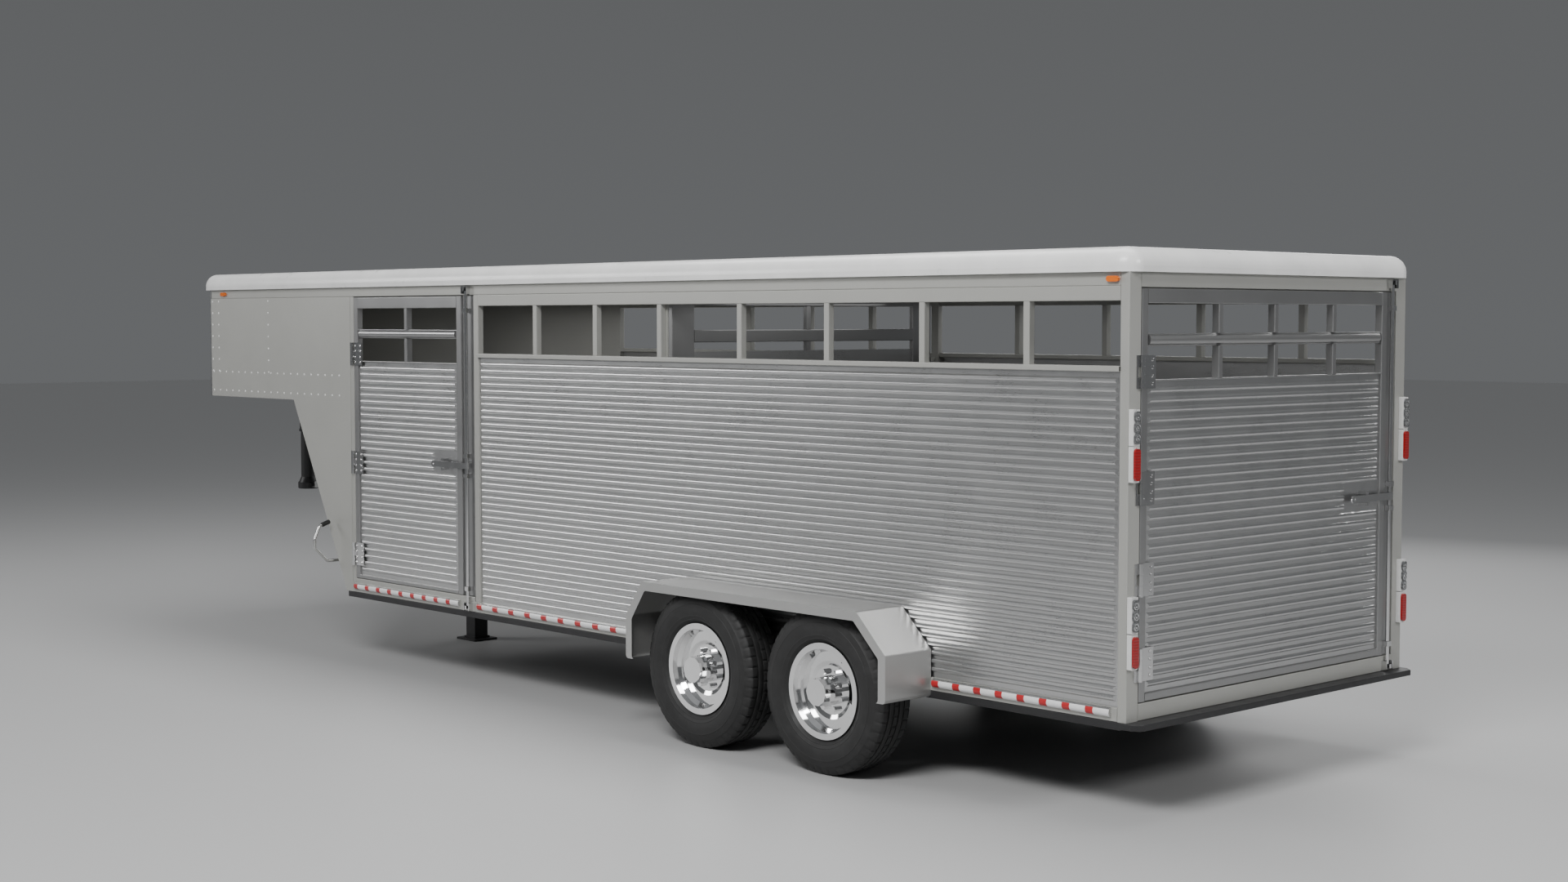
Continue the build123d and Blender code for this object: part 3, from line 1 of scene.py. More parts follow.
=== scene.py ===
"""Looks of the gooseneck livestock trailer: materials, fine detail, floor, lights and camera, in metres."""

import json
import math

import bmesh
import bpy
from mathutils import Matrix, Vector


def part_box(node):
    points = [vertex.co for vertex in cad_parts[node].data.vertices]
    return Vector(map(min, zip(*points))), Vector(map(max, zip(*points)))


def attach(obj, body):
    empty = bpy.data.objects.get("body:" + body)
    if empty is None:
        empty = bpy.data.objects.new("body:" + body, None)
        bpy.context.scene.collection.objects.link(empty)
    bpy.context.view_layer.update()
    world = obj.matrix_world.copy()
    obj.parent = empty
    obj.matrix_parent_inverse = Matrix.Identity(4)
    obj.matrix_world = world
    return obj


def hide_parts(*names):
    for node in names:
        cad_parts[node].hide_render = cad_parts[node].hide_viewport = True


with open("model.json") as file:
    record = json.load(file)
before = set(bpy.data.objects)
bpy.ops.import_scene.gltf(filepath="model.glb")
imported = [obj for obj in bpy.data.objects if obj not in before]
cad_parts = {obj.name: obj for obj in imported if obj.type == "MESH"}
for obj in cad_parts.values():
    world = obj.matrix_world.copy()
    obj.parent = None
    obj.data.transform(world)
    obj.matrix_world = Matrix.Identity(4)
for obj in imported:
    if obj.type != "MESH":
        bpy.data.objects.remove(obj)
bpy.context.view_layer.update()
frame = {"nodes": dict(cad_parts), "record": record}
nodes = frame["nodes"]

# ---- driving sizes, in metres ----
SIDES = {"left": -1, "right": 1}
AXLES = ("front", "rear")

RIVET_RADIUS = 0.0065
RIVET_HEIGHT = 0.003
RIVET_PITCH = 0.083
FRONT_ROWS = (0.02, 0.102, 0.755)  # upright rows on the nose's side, back from its front edge
LOW_ROWS = (0.04, 0.164)  # level rows on the nose's side, above its lower edge
NOSE_END = -1.86  # where the level rows stop
ROW_START = 0.03  # from the nose's front edge to the level rows
ROW_FOOT = 0.17  # from the nose's lower edge to the upright rows
ROW_HEAD = 0.02  # from the upright rows to the side's upper edge
FRONT_FLAT = 0.45  # half the width of the nose's flat front

TAPE_PROUD = 0.0006
TAPE_ARC = (-70, 38)  # degrees round the rub rail, from the lower edge to the bare top
BAND_COUNTS = (8, 11, 9)  # red bands on the rear, middle and front stretches
RED_SHARE = 0.33

TYRE_STEPS = 288
SIPE_EVERY = 6
SIPE_DEPTH = 0.005
GROOVE_DEPTH = 0.008
TREAD_RIBS = ((-0.084, -0.053), (-0.044, -0.020), (-0.012, 0.012), (0.020, 0.044), (0.053, 0.084))
TYRE_RADIUS = 0.391
CROWN_DROP = 0.0022  # fall of the tread from its middle to CROWN_HALF
CROWN_HALF = 0.08
RIB_CHAMFER = 0.0008
RIB_BEVEL = 0.002
GROOVE_TAPER = 0.0015
SHOULDER_NOTCH = 0.004
MIDDLE_RIB = 0.015  # the sipes of what lies nearer the middle than this are set between the others

# half of the tyre's outline as (radius, half width), from the bead outwards
BEAD_SEAT = ((0.2035, 0.083), (0.212, 0.0835), (0.2285, 0.0835), (0.236, 0.0925), (0.243, 0.1005))
RIM_LINE = (
    (0.2465, 0.1035), (0.2495, 0.1035), (0.256, 0.1075), (0.262, 0.110), (0.2635, 0.1112), (0.266, 0.1115),
    (0.2675, 0.1112),
)
SIDEWALL = (
    (0.280, 0.1150), (0.300, 0.1168), (0.318, 0.1160), (0.3195, 0.1168), (0.323, 0.1163), (0.3245, 0.1148),
    (0.340, 0.1118), (0.352, 0.1078), (0.3535, 0.1062),
)
SHOULDER = ((0.364, 0.1020), (0.374, 0.0970), (0.383, 0.0905))
LINER = ((0.2035, 0.070), (0.2290, 0.071), (0.262, 0.094), (0.300, 0.104), (0.345, 0.096), (0.372, 0.070))

# wheel details as (radius, distance outwards from the wheel's middle); the stem from its own foot
DRUM = (
    (0.0585, -0.064), (0.150, -0.064), (0.154, -0.060), (0.154, -0.052), (0.149, -0.049), (0.149, -0.040),
    (0.152, -0.037), (0.152, -0.030), (0.149, -0.027), (0.149, -0.004), (0.143, 0.004), (0.100, 0.010),
    (0.0585, 0.012),
)
BACKING_PLATE = (
    (0.0225, -0.208), (0.0245, -0.208), (0.0245, -0.128), (0.068, -0.121), (0.068, -0.078), (0.150, -0.074),
    (0.157, -0.074), (0.157, -0.064), (0.1555, -0.064), (0.1555, -0.0695), (0.064, -0.0715),
    (0.064, -0.1175), (0.0225, -0.1175),
)
PLATE_BOLT_CIRCLE = 0.054
PLATE_BACK = 0.1225
VALVE_STEM = (
    (0, 0), (0.0058, 0), (0.0052, 0.006), (0.0036, 0.010), (0.0036, 0.026), (0.0042, 0.0265), (0.0042, 0.036),
    (0, 0.0365),
)
VALVE_CIRCLE = 0.188
VALVE_ANGLE = 0.9  # radians
VALVE_OUT = 0.048

# lamp details as (radius, distance forwards)
LAMP_RING = ((0.0115, 0), (0.0155, 0), (0.0160, 0.0015), (0.0150, 0.0028), (0.0125, 0.0028), (0.0112, 0.0012))
LAMP_BULB = ((0, 0), (0.0062, 0), (0.0058, 0.0016), (0.0035, 0.0026), (0, 0.0029))
LAMP_ELEMENTS = 3
LENS_HEIGHT = 0.13  # every lens is taller than this
LAMP_HALF = 0.018  # from a lens's outer edge to its middle

BOLT_RISES = (-0.05, -0.018, 0.018, 0.05)  # hinge bolts above each strap's middle
BOLT_INSETS = (0.032, 0.088)  # hinge bolts from the strap's pin end
STRAP_HEIGHT = 0.145
STRAP_SET_BACK = 0.018  # from the hinges' outermost face back to the strap's face

CAMERA_PLACE = Vector((9.780, -8.160, 2.107))
CAMERA_YAW = 43.0615  # degrees from -X towards +Y
CAMERA_PITCH = 3.2206  # degrees downwards
CAMERA_LENS = 49.29
SENSOR_WIDTH = 36


# ---- materials ----
class Recipe:
    """A node tree in the making: a Principled shader fed by textures in the object's own coordinates."""

    def __init__(self, name):
        self.material = bpy.data.materials.new(name)
        self.material.use_nodes = True
        self.tree = self.material.node_tree
        self.shader = self.tree.nodes["Principled BSDF"]
        self.place = self.add("ShaderNodeTexCoord").outputs["Object"]

    def add(self, kind, **settings):
        node = self.tree.nodes.new(kind)
        for key, value in settings.items():
            setattr(node, key, value)
        return node

    def link(self, source, target):
        self.tree.links.new(source, target)

    def noise(self, scale, stretch=(1, 1, 1), detail=3, roughness=0.5):
        """Noise with a number of features per metre, stretched along the axes."""
        mapping = self.add("ShaderNodeMapping")
        mapping.inputs["Scale"].default_value = stretch
        self.link(self.place, mapping.inputs["Vector"])
        noise = self.add("ShaderNodeTexNoise")
        noise.inputs["Scale"].default_value = scale
        noise.inputs["Detail"].default_value = detail
        noise.inputs["Roughness"].default_value = roughness
        self.link(mapping.outputs["Vector"], noise.inputs["Vector"])
        return noise.outputs["Fac"]

    def spread(self, value, low, high, span=(0.3, 0.7)):
        """Maps a texture's usual span to two values."""
        ramp = self.add("ShaderNodeMapRange")
        ramp.inputs["From Min"].default_value = span[0]
        ramp.inputs["From Max"].default_value = span[1]
        ramp.inputs["To Min"].default_value = low
        ramp.inputs["To Max"].default_value = high
        self.link(value, ramp.inputs["Value"])
        return ramp.outputs["Result"]

    def blend(self, factor, first, second):
        """Mixes two colours, each a colour or another node's output."""
        mix = self.add("ShaderNodeMix", data_type="RGBA")
        self.link(factor, mix.inputs[0])
        for socket, colour in ((mix.inputs[6], first), (mix.inputs[7], second)):
            if isinstance(colour, tuple):
                socket.default_value = (*colour, 1)
            else:
                self.link(colour, socket)
        return mix.outputs[2]

    def paint(self, colour):
        """Joins an output to the base colour."""
        self.link(colour, self.shader.inputs["Base Color"])

    def gloss(self, value):
        """Joins an output to the roughness."""
        self.link(value, self.shader.inputs["Roughness"])

    def bump(self, height, depth, strength=1.0):
        """Adds relief of a depth in metres."""
        bump = self.add("ShaderNodeBump")
        bump.inputs["Distance"].default_value = depth
        bump.inputs["Strength"].default_value = strength
        self.link(height, bump.inputs["Height"])
        self.link(bump.outputs["Normal"], self.shader.inputs["Normal"])

    def set(self, **values):
        for key, value in values.items():
            self.shader.inputs[key.replace("_", " ")].default_value = value


def shaded(colour, share):
    """A colour made darker or lighter by a share."""
    return tuple(min(1.0, channel * share) for channel in colour)


def sheet_metal(
    name, colour, metallic, rough, grain=(3, 60, 60), grain_depth=0.00003, blotch=0.95, streak=0.2
):
    """Rolled sheet or extrusion: fine drawn grain one way, soft blotches and a slightly uneven gloss."""
    recipe = Recipe(name)
    recipe.set(Metallic=metallic)
    grain_noise = recipe.noise(9, grain, detail=4, roughness=0.6)
    blotches = recipe.noise(2.2, detail=5, roughness=0.62)
    tone = recipe.blend(recipe.spread(blotches, 0, 1), shaded(colour, blotch), colour)
    streaked = recipe.blend(recipe.spread(grain_noise, 0, streak), tone, shaded(colour, 0.85))
    recipe.paint(streaked)
    uneven = recipe.add("ShaderNodeMath", operation="ADD")
    recipe.link(recipe.spread(grain_noise, rough - 0.03, rough + 0.04), uneven.inputs[0])
    recipe.link(recipe.spread(recipe.noise(6, detail=4), -0.02, 0.02), uneven.inputs[1])
    recipe.gloss(uneven.outputs[0])
    recipe.bump(grain_noise, grain_depth)
    return recipe.material


def coated(name, colour, rough, peel=90, peel_depth=0.00012, metallic=0.0, coat=0.0):
    """Paint or powder coat: orange peel, faint blotches and scuffs."""
    recipe = Recipe(name)
    recipe.set(Metallic=metallic, Coat_Weight=coat, Coat_Roughness=0.12)
    blotches = recipe.noise(3.5, detail=5, roughness=0.6)
    tone = recipe.blend(recipe.spread(blotches, 0, 1), shaded(colour, 0.9), shaded(colour, 1.04))
    recipe.paint(tone)
    recipe.gloss(recipe.spread(recipe.noise(14, detail=5), rough - 0.05, rough + 0.09))
    recipe.bump(recipe.noise(peel, detail=2), peel_depth)
    return recipe.material


def plated(name, colour, rough):
    """Polished plating: a mirror with faint polishing haze."""
    recipe = Recipe(name)
    recipe.set(Metallic=1.0)
    haze = recipe.noise(25, detail=5, roughness=0.65)
    recipe.paint(recipe.blend(recipe.spread(haze, 0, 1), shaded(colour, 0.94), colour))
    recipe.gloss(recipe.spread(haze, rough, rough + 0.06))
    recipe.bump(recipe.noise(40, detail=2), 0.00005)
    return recipe.material


def moulded_rubber(name, colour, rough):
    """Tyre or grip rubber: matt, finely pitted, a little greyer where it is dusty."""
    recipe = Recipe(name)
    dust = recipe.noise(18, detail=6, roughness=0.7)
    recipe.paint(recipe.blend(recipe.spread(dust, 0, 1, (0.45, 0.8)), colour, shaded(colour, 2.2)))
    recipe.gloss(recipe.spread(dust, rough - 0.06, rough + 0.1))
    recipe.bump(recipe.noise(700, detail=2), 0.00012)
    return recipe.material


def lens(name, colour, transmission, flutes):
    """A moulded lens with flutes inside it, as many per metre as given."""
    recipe = Recipe(name)
    recipe.set(Roughness=0.08, Coat_Weight=0.6, Coat_Roughness=0.05)
    recipe.set(Transmission_Weight=transmission, IOR=1.49)
    wave = recipe.add("ShaderNodeTexWave", wave_type="BANDS", bands_direction="Z")
    wave.inputs["Scale"].default_value = flutes
    recipe.link(recipe.place, wave.inputs["Vector"])
    recipe.paint(recipe.blend(wave.outputs["Fac"], shaded(colour, 0.72), colour))
    recipe.bump(wave.outputs["Fac"], 0.0006)
    return recipe.material


def tape(name, colour):
    """Reflective tape with its fine honeycomb."""
    recipe = Recipe(name)
    recipe.set(Roughness=0.32, Coat_Weight=0.35, Coat_Roughness=0.15)
    cells = recipe.add("ShaderNodeTexVoronoi", feature="DISTANCE_TO_EDGE")
    cells.inputs["Scale"].default_value = 260
    recipe.link(recipe.place, cells.inputs["Vector"])
    edges = recipe.spread(cells.outputs["Distance"], 0, 1, (0.0, 0.08))
    recipe.paint(recipe.blend(edges, shaded(colour, 0.82), colour))
    recipe.bump(edges, 0.0001)
    return recipe.material


WHITE = (0.82, 0.82, 0.81)
PALE_GREY = (0.44, 0.44, 0.415)
BRIGHT = (0.60, 0.60, 0.60)

ACROSS_X = (3, 60, 60)
UPRIGHT = (60, 60, 3)

FINISHES = {
    "roof_white": coated("roof_white", WHITE, 0.32, peel=60, coat=0.25),
    "wall_panel": sheet_metal("wall_panel", BRIGHT, 1.0, 0.30, ACROSS_X, 0.000004, 0.97, 0.08),
    "frame_aluminium": sheet_metal("frame_aluminium", PALE_GREY, 0.35, 0.40, ACROSS_X),
    "door_frame": sheet_metal("door_frame", (0.40, 0.40, 0.40), 0.9, 0.33, UPRIGHT),
    "nose_sheet": sheet_metal("nose_sheet", PALE_GREY, 0.3, 0.42, ACROSS_X, 0.0001),
    "bright_trim": plated("bright_trim", (0.75, 0.75, 0.75), 0.16),
    "floor_plank": sheet_metal("floor_plank", (0.36, 0.36, 0.36), 0.9, 0.48, ACROSS_X),
    "chassis_black": coated("chassis_black", (0.018, 0.018, 0.019), 0.45),
    "fender_sheet": sheet_metal("fender_sheet", (0.52, 0.52, 0.51), 0.75, 0.36, ACROSS_X),
    "rub_rail_band": sheet_metal("rub_rail_band", (0.72, 0.72, 0.71), 1.0, 0.28, ACROSS_X),
    "lamp_white": coated("lamp_white", (0.72, 0.72, 0.71), 0.25, coat=0.5),
    "lens_clear": lens("lens_clear", (0.86, 0.88, 0.9), 0.85, 18),
    "lens_red": lens("lens_red", (0.42, 0.008, 0.01), 0.15, 26),
    "lens_amber": lens("lens_amber", (0.95, 0.20, 0.015), 0.1, 40),
    "coupler_black": coated("coupler_black", (0.016, 0.016, 0.017), 0.42),
    "jack_black": coated("jack_black", (0.016, 0.016, 0.017), 0.42),
    "latch_chrome": plated("latch_chrome", (0.72, 0.72, 0.72), 0.10),
    "wheel_chrome": plated("wheel_chrome", (0.83, 0.83, 0.83), 0.05),
    "zinc_steel": plated("zinc_steel", (0.68, 0.68, 0.67), 0.20),
    "grip_rubber": moulded_rubber("grip_rubber", (0.012, 0.012, 0.012), 0.55),
    "tyre": moulded_rubber("tyre", (0.014, 0.014, 0.014), 0.62),
}
TAPE_WHITE = tape("tape_white", (0.86, 0.86, 0.86))
TAPE_RED = tape("tape_red", (0.50, 0.012, 0.016))
RIVET = coated("rivet", (0.85, 0.85, 0.84), 0.25)
DRUM_IRON = sheet_metal("drum_iron", (0.035, 0.034, 0.033), 0.5, 0.55, UPRIGHT)
SEAL_RUBBER = moulded_rubber("seal_rubber", (0.02, 0.02, 0.02), 0.5)

# nodes whose finish is sharper than their slot's
SHARPER = {name: "door_frame" for name in ("rear_door_frame", "escape_door_frame", "gate_frame")}


def finish_nodes():
    """Gives each CAD node its finish, by the record's slots."""
    slots = {part["node"]: part["material_slot"] for part in frame["record"]["subparts"]}
    for name, node in nodes.items():
        finish = FINISHES[SHARPER.get(name, slots[name])]
        node.data.materials.clear()
        node.data.materials.append(finish)


# ---- mesh helpers ----
def piece(name, mesh_maker, material, body, smooth_angle=40):
    """Makes a mesh piece with bmesh and lets it ride on a body."""
    mesh = bpy.data.meshes.new(name)
    shape = bmesh.new()
    mesh_maker(shape)
    bmesh.ops.remove_doubles(shape, verts=shape.verts, dist=1e-6)
    bmesh.ops.recalc_face_normals(shape, faces=shape.faces)
    for edge in shape.edges:
        if len(edge.link_faces) == 2:
            edge.smooth = edge.calc_face_angle() < math.radians(smooth_angle)
    for face in shape.faces:
        face.smooth = True
    shape.to_mesh(mesh)
    shape.free()
    made = bpy.data.objects.new(name, mesh)
    bpy.context.scene.collection.objects.link(made)
    made.data.materials.append(material)
    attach(made, body)
    return made


def lathe(shape, outline, centre, axis, steps=64):
    """Turns a closed outline of (radius, along) round an axis through a point."""
    turn = Vector((0, 0, 1)).rotation_difference(Vector(axis)).to_matrix()
    rings = []
    for step in range(steps):
        angle = 2 * math.pi * step / steps
        ring = []
        for radius, along in outline:
            local = Vector((radius * math.cos(angle), radius * math.sin(angle), along))
            ring.append(shape.verts.new(Vector(centre) + turn @ local))
        rings.append(ring)
    for step, ring in enumerate(rings):
        following = rings[(step + 1) % steps]
        for index in range(len(outline)):
            after = (index + 1) % len(outline)
            corners = [ring[index], ring[after], following[after], following[index]]
            if outline[index][0] > 1e-9 and outline[after][0] > 1e-9:
                shape.faces.new(corners)
            elif outline[after][0] > 1e-9:
                shape.faces.new([ring[index], ring[after], following[after]])
            elif outline[index][0] > 1e-9:
                shape.faces.new([ring[index], ring[after], following[index]])


def dome(radius, height, steps=6):
    """The outline of a rivet or bolt head with a flat back a little under the surface."""
    under = -0.3 * height
    arc = [
        (radius * math.cos(math.pi / 2 * step / steps), height * math.sin(math.pi / 2 * step / steps))
        for step in range(steps)
    ]
    return [(0, under), (radius, under), *arc, (0, height)]


def heads(shape, places, axis, radius=RIVET_RADIUS, height=RIVET_HEIGHT, steps=14):
    """Rivet heads at several places that face the same way."""
    for place in places:
        lathe(shape, dome(radius, height), place, axis, steps)


def hex_bolts(shape, places, axis, radius=0.009, height=0.007):
    """Bolt heads, each with a washer under it."""
    washer = [(0, -0.001), (1.35 * radius, -0.001), (1.35 * radius, 0.0015), (0, 0.0015)]
    head = [(0, 0.001), (radius, 0.001), (radius, height - 0.001), (0.86 * radius, height), (0, height)]
    for place in places:
        lathe(shape, washer, place, axis, 20)
        lathe(shape, head, place, axis, 6)


# ---- rivets on the nose ----
def row(start, stop, pitch=RIVET_PITCH):
    """Evenly spaced values from start to stop, near the pitch."""
    count = max(1, round(abs(stop - start) / pitch))
    return [start + (stop - start) * step / count for step in range(count + 1)]


def nose_rivets(side):
    """Rivets on one side of the nose: upright rows near its front and level rows low on it."""
    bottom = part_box("nose_corners")[0].z
    sides_low, sides_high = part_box("nose_sides")
    face = side * sides_high.y
    front = sides_low.x
    places = []
    for inset in FRONT_ROWS:
        places += [(front + inset, face, z) for z in row(bottom + ROW_FOOT, sides_high.z - ROW_HEAD)]
    for rise in LOW_ROWS:
        places += [(x, face, bottom + rise) for x in row(front + ROW_START, NOSE_END)]
    return places


def front_rivets(side):
    """Rivets on the angled nose sheets, beside each corner strip."""
    low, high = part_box("nose_skin")
    corner = Vector((high.x, side * high.y, 0))
    flat = Vector((low.x, side * FRONT_FLAT, 0))
    along = (flat - corner).normalized()
    outward = Vector((along.y, -along.x, 0)) * side
    if outward.x > 0:
        outward = -outward
    places = []
    for start in (corner + along * 0.035, flat - along * 0.05):
        places += [start + Vector((0, 0, z)) for z in row(low.z + 0.04, high.z - 0.04)]
    return places, outward


# ---- rub rail tape ----
def rail_arc(shape, centre, radius, side, stretch, arc, steps=14):
    """A thin strip round a half-round rail."""
    rings = []
    for x in stretch:
        ring = []
        for step in range(steps + 1):
            angle = math.radians(arc[0] + (arc[1] - arc[0]) * step / steps)
            out, up = radius * math.cos(angle), radius * math.sin(angle)
            ring.append((x, side * (centre[0] + out), centre[1] + up))
        rings.append(ring)
    inner_scale = (radius - 1.5 * TAPE_PROUD) / radius
    middle = (side * centre[0], centre[1])

    def inward(x, y, z):
        return x, middle[0] + (y - middle[0]) * inner_scale, middle[1] + (z - middle[1]) * inner_scale

    for index in range(steps):
        corners = [rings[0][index], rings[1][index], rings[1][index + 1], rings[0][index + 1]]
        outer = [shape.verts.new(point) for point in corners]
        inner = [shape.verts.new(inward(*point)) for point in corners]
        shape.faces.new(outer)
        shape.faces.new(inner[::-1])
        edges = [(0, 1)] if index == 0 else []
        edges += [(2, 3)] if index == steps - 1 else []
        for first, second in (*edges, (1, 2), (3, 0)):
            shape.faces.new([outer[first], outer[second], inner[second], inner[first]])


def stretches():
    """The rub rail's stretches along X on one side, found from its mesh."""
    vertices = nodes["rub_rails"].data.vertices
    ends = sorted({round(vertex.co.x, 4) for vertex in vertices if vertex.co.y < 0})
    return sorted(zip(ends[::2], ends[1::2]), reverse=True)


def rub_tape():
    """Red and white bands in turn along both rub rails."""
    low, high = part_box("rub_rails")
    wall = -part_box("wall_rails")[0].y
    radius = (high.z - low.z) / 2 + TAPE_PROUD
    centre = (wall, (low.z + high.z) / 2)

    def bands(red):
        def make(shape):
            for side in SIDES.values():
                for (start, stop), count in zip(stretches(), BAND_COUNTS):
                    pitch = (stop - start) / count
                    for band in range(count):
                        edge = start + band * pitch
                        split = edge + RED_SHARE * pitch
                        span = (edge, split) if red else (split, edge + pitch)
                        rail_arc(shape, centre, radius, side, span, TAPE_ARC)
        return make

    piece("rub_tape_red", bands(True), TAPE_RED, "trailer")
    piece("rub_tape_white", bands(False), TAPE_WHITE, "trailer")


# ---- tyres with real tread ----
def tyre_outline(low_tread):
    """Outer outline of the tyre as (radius, across), from the inner bead over the tread to the outer bead."""
    shoulder = [(radius, across - (SHOULDER_NOTCH if low_tread else 0)) for radius, across in SHOULDER]
    edge = [*BEAD_SEAT, *RIM_LINE, *SIDEWALL, *shoulder]
    left = [(radius, -across) for radius, across in edge]
    right = [(radius, across) for radius, across in reversed(edge)]
    crown = []
    for place, (start, stop) in enumerate(TREAD_RIBS):
        inner_rib = place % 2 == 1
        level = TYRE_RADIUS - (SIPE_DEPTH if low_tread and not inner_rib else 0)
        drop = CROWN_DROP * ((start + stop) / (2 * CROWN_HALF)) ** 2
        crown += [(level - drop - RIB_CHAMFER, start), (level - drop, start + RIB_BEVEL)]
        crown += [(level - drop, stop - RIB_BEVEL), (level - drop - RIB_CHAMFER, stop)]
        if place < len(TREAD_RIBS) - 1:
            bottom = TYRE_RADIUS - GROOVE_DEPTH
            crown += [(bottom, stop + GROOVE_TAPER), (bottom, TREAD_RIBS[place + 1][0] - GROOVE_TAPER)]
    return left + crown + right


def tyre(side_name, axle):
    """A tyre with grooves, sipes and notched shoulders, in place of the plain one."""
    node = f"tyre_{side_name}_{axle}"
    low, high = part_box(node)
    centre = (low + high) / 2
    liner = [(radius, across) for radius, across in LINER]
    liner += [(radius, -across) for radius, across in reversed(LINER)]

    def make(shape):
        rings = []
        for step in range(TYRE_STEPS):
            angle = 2 * math.pi * step / TYRE_STEPS
            outline = tyre_outline(step % SIPE_EVERY == 0)
            middle = tyre_outline(step % SIPE_EVERY == SIPE_EVERY // 2)
            outline = [
                (middle[index][0] if abs(across) < MIDDLE_RIB else radius, across)
                for index, (radius, across) in enumerate(outline)
            ]
            rings.append([
                shape.verts.new(centre + Vector((radius * math.sin(angle), across, radius * math.cos(angle))))
                for radius, across in (*outline, *liner)
            ])
        for step, ring in enumerate(rings):
            following = rings[(step + 1) % TYRE_STEPS]
            for index in range(len(ring)):
                after = (index + 1) % len(ring)
                shape.faces.new([ring[index], ring[after], following[after], following[index]])

    place = f"{side_name}_{axle}"
    made = piece(f"tread_tyre_{place}", make, FINISHES["tyre"], f"wheel_{place}", 28)
    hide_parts(node)


# ---- brakes and small wheel parts ----
def wheel_details(side_name, axle):
    """Brake drum, backing plate with its bolts, and valve stem of one wheel."""
    side = SIDES[side_name]
    low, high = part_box(f"tyre_{side_name}_{axle}")
    centre = (low + high) / 2
    outward = (0, side, 0)
    place = f"{side_name}_{axle}"

    def drum(shape):
        lathe(shape, DRUM, centre, outward, 96)

    piece(f"brake_drum_{place}", drum, DRUM_IRON, f"wheel_{place}")

    def plate(shape):
        lathe(shape, BACKING_PLATE, centre, outward, 96)
        for step in range(4):
            angle = math.pi / 4 + step * math.pi / 2
            around = PLATE_BOLT_CIRCLE
            spot = centre + Vector((around * math.cos(angle), -side * PLATE_BACK, around * math.sin(angle)))
            hex_bolts(shape, [spot], (0, -side, 0), 0.008, 0.008)

    piece(f"backing_plate_{place}", plate, FINISHES["chassis_black"], f"arm_{place}")

    def valve(shape):
        along, up = VALVE_CIRCLE * math.cos(VALVE_ANGLE), VALVE_CIRCLE * math.sin(VALVE_ANGLE)
        lathe(shape, VALVE_STEM, centre + Vector((along, side * VALVE_OUT, up)), outward, 18)

    piece(f"valve_stem_{place}", valve, SEAL_RUBBER, f"wheel_{place}")


# ---- lamps ----
def lamp_details():
    """A bright ring and bulb behind each element of the clear lenses, and screws beside the lenses."""
    lens_low, lens_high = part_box("lamps_clear")
    across = -lens_low.y - LAMP_HALF
    levels = sorted({round(vertex.co.z, 3) for vertex in nodes["lamps_clear"].data.vertices})
    lower_top = min(level for level in levels if level > levels[0] + LENS_HEIGHT)
    upper_bottom = max(level for level in levels if level < levels[-1] - LENS_HEIGHT)
    spans = ((levels[0], lower_top), (upper_bottom, levels[-1]))

    def rings(shape):
        for side in SIDES.values():
            for low, high in spans:
                for element in range(LAMP_ELEMENTS):
                    level = low + (high - low) * (element + 0.5) / LAMP_ELEMENTS
                    spot = (lens_high.x - 0.0018, side * across, level)
                    lathe(shape, LAMP_RING, spot, (1, 0, 0), 32)
                    lathe(shape, LAMP_BULB, spot, (1, 0, 0), 24)

    piece("lamp_rings", rings, FINISHES["wheel_chrome"], "trailer")

    def screws(shape):
        low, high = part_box("lamp_housings")
        red_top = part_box("lamps_red")[1].z
        for side in SIDES.values():
            for level in (low.z + 0.0035, high.z - 0.0035, red_top + 0.0035):
                heads(shape, [(high.x, side * across, level)], (1, 0, 0), 0.003, 0.0015, 12)

    piece("lamp_screws", screws, FINISHES["zinc_steel"], "trailer")


# ---- door hardware ----
def hinge_bolts(door):
    """Bolts through each hinge strap of a door."""
    low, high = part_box(f"{door}_hinges")
    places = []
    for height in strap_heights(f"{door}_hinges"):
        for rise in BOLT_RISES:
            for inset in BOLT_INSETS:
                if door == "rear_door":
                    places.append((high.x - STRAP_SET_BACK, low.y + inset, height + rise))
                else:
                    places.append((low.x + inset, low.y + STRAP_SET_BACK, height + rise))
    axis = (1, 0, 0) if door == "rear_door" else (0, -1, 0)

    def make(shape):
        hex_bolts(shape, places, axis, 0.0062, 0.005)

    piece(f"{door}_hinge_bolts", make, FINISHES["latch_chrome"], door)


def strap_heights(node_name):
    """Middle heights of the hinge straps, from the node's separate solids."""
    levels = sorted({round(vertex.co.z, 3) for vertex in nodes[node_name].data.vertices})
    groups = []
    for level in levels:
        if groups and level - groups[-1][0] < STRAP_HEIGHT:
            groups[-1].append(level)
        else:
            groups.append([level])
    return [(group[0] + group[-1]) / 2 for group in groups]


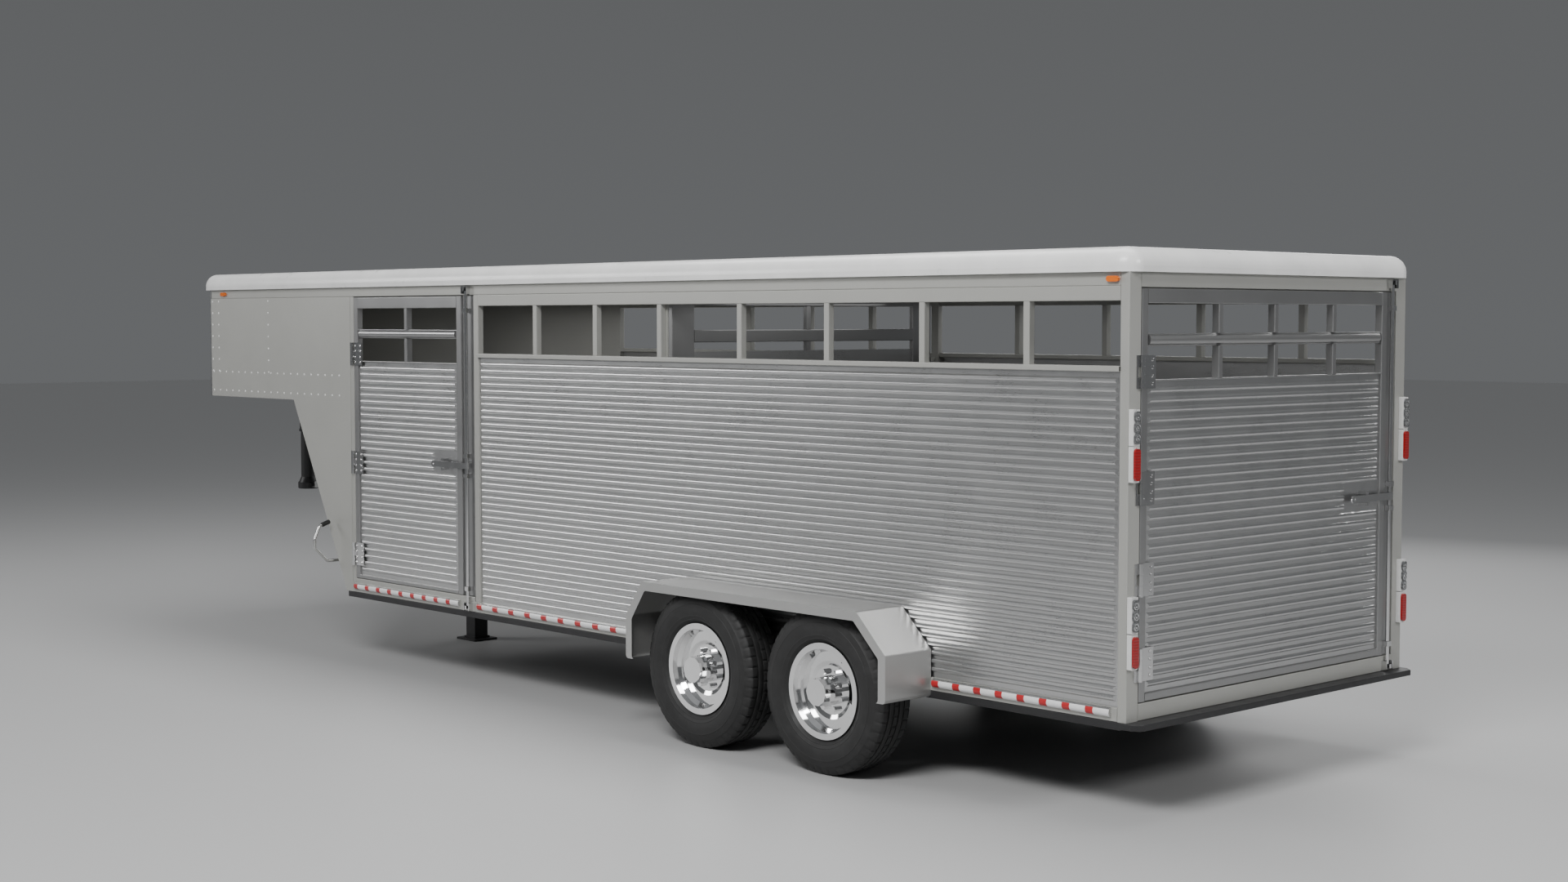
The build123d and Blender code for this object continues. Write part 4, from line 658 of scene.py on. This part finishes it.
# ---- floor, lights and camera ----
def studio():
    """A plain pale floor and a soft grey surround that is brighter above."""
    bpy.ops.mesh.primitive_plane_add(size=120, location=(0, 0, 0))
    ground = bpy.context.object
    ground.name = "studio_floor"
    recipe = Recipe("studio_floor")
    recipe.set(Roughness=0.5, Base_Color=(0.46, 0.46, 0.46, 1))
    ground.data.materials.append(recipe.material)
    world = bpy.data.worlds.new("studio")
    bpy.context.scene.world = world
    world.use_nodes = True
    tree = world.node_tree
    background = tree.nodes["Background"]
    background.inputs["Strength"].default_value = 0.45
    coordinates = tree.nodes.new("ShaderNodeTexCoord")
    parts = tree.nodes.new("ShaderNodeSeparateXYZ")
    ramp = tree.nodes.new("ShaderNodeValToRGB")
    first, last = ramp.color_ramp.elements
    first.position, first.color = 0.0, (0.30, 0.31, 0.32, 1)
    last.position, last.color = 1.0, (0.80, 0.82, 0.84, 1)
    ramp.color_ramp.elements.new(0.30).color = (0.24, 0.245, 0.25, 1)
    tree.links.new(coordinates.outputs["Generated"], parts.inputs["Vector"])
    tree.links.new(parts.outputs["Z"], ramp.inputs["Fac"])
    tree.links.new(ramp.outputs["Color"], background.inputs["Color"])


def area_light(name, place, target, size, power):
    """A rectangular lamp that faces a point."""
    light = bpy.data.lights.new(name, "AREA")
    light.shape = "RECTANGLE"
    light.size, light.size_y = size
    light.energy = power
    lamp = bpy.data.objects.new(name, light)
    lamp.location = place
    lamp.rotation_euler = (Vector(target) - Vector(place)).to_track_quat("-Z", "Y").to_euler()
    lamp.visible_camera = False
    bpy.context.scene.collection.objects.link(lamp)


def lights():
    """Broad lamps round the trailer and two faint ones inside it."""
    area_light("key", (6, -8, 8), (1.5, -0.8, 1.2), (5, 2.5), 1050)
    area_light("fill", (-9, -8, 5), (-1, -1, 1.0), (5, 2.5), 330)
    area_light("rear", (13, 1.5, 6), (4.3, 0, 1.2), (4, 2), 420)
    area_light("top", (0, 0.5, 8), (0, 0, 2), (11, 3), 420)
    area_light("far", (-2, 9, 4), (0, 1, 1), (8, 3), 200)
    area_light("inside", (-1.6, 0, 2.2), (-1.6, 0, 0), (3, 1.2), 14)
    area_light("inside_rear", (2.4, 0, 2.2), (2.4, 0, 0), (3, 1.2), 8)


def camera():
    """The eye, behind the left-hand rear corner."""
    yaw, pitch = math.radians(CAMERA_YAW), math.radians(CAMERA_PITCH)
    look = Vector((-math.cos(yaw) * math.cos(pitch), math.sin(yaw) * math.cos(pitch), -math.sin(pitch)))
    data = bpy.data.cameras.new("view")
    data.lens = CAMERA_LENS
    data.sensor_width = SENSOR_WIDTH
    data.clip_end = 200
    eye = bpy.data.objects.new("view", data)
    eye.location = CAMERA_PLACE
    eye.rotation_euler = look.to_track_quat("-Z", "Y").to_euler()
    bpy.context.scene.collection.objects.link(eye)
    bpy.context.scene.camera = eye


finish_nodes()
for side_name, side in SIDES.items():
    side_places = nose_rivets(side)
    piece(
        f"nose_rivets_{side_name}", lambda shape: heads(shape, side_places, (0, side, 0)), RIVET,
        "trailer",
    )
    front_places, facing = front_rivets(side)
    piece(
        f"front_rivets_{side_name}", lambda shape: heads(shape, front_places, facing), RIVET,
        "trailer",
    )
    for axle in AXLES:
        tyre(side_name, axle)
        wheel_details(side_name, axle)
rub_tape()
lamp_details()
hinge_bolts("rear_door")
hinge_bolts("escape_door")
studio()
lights()
camera()
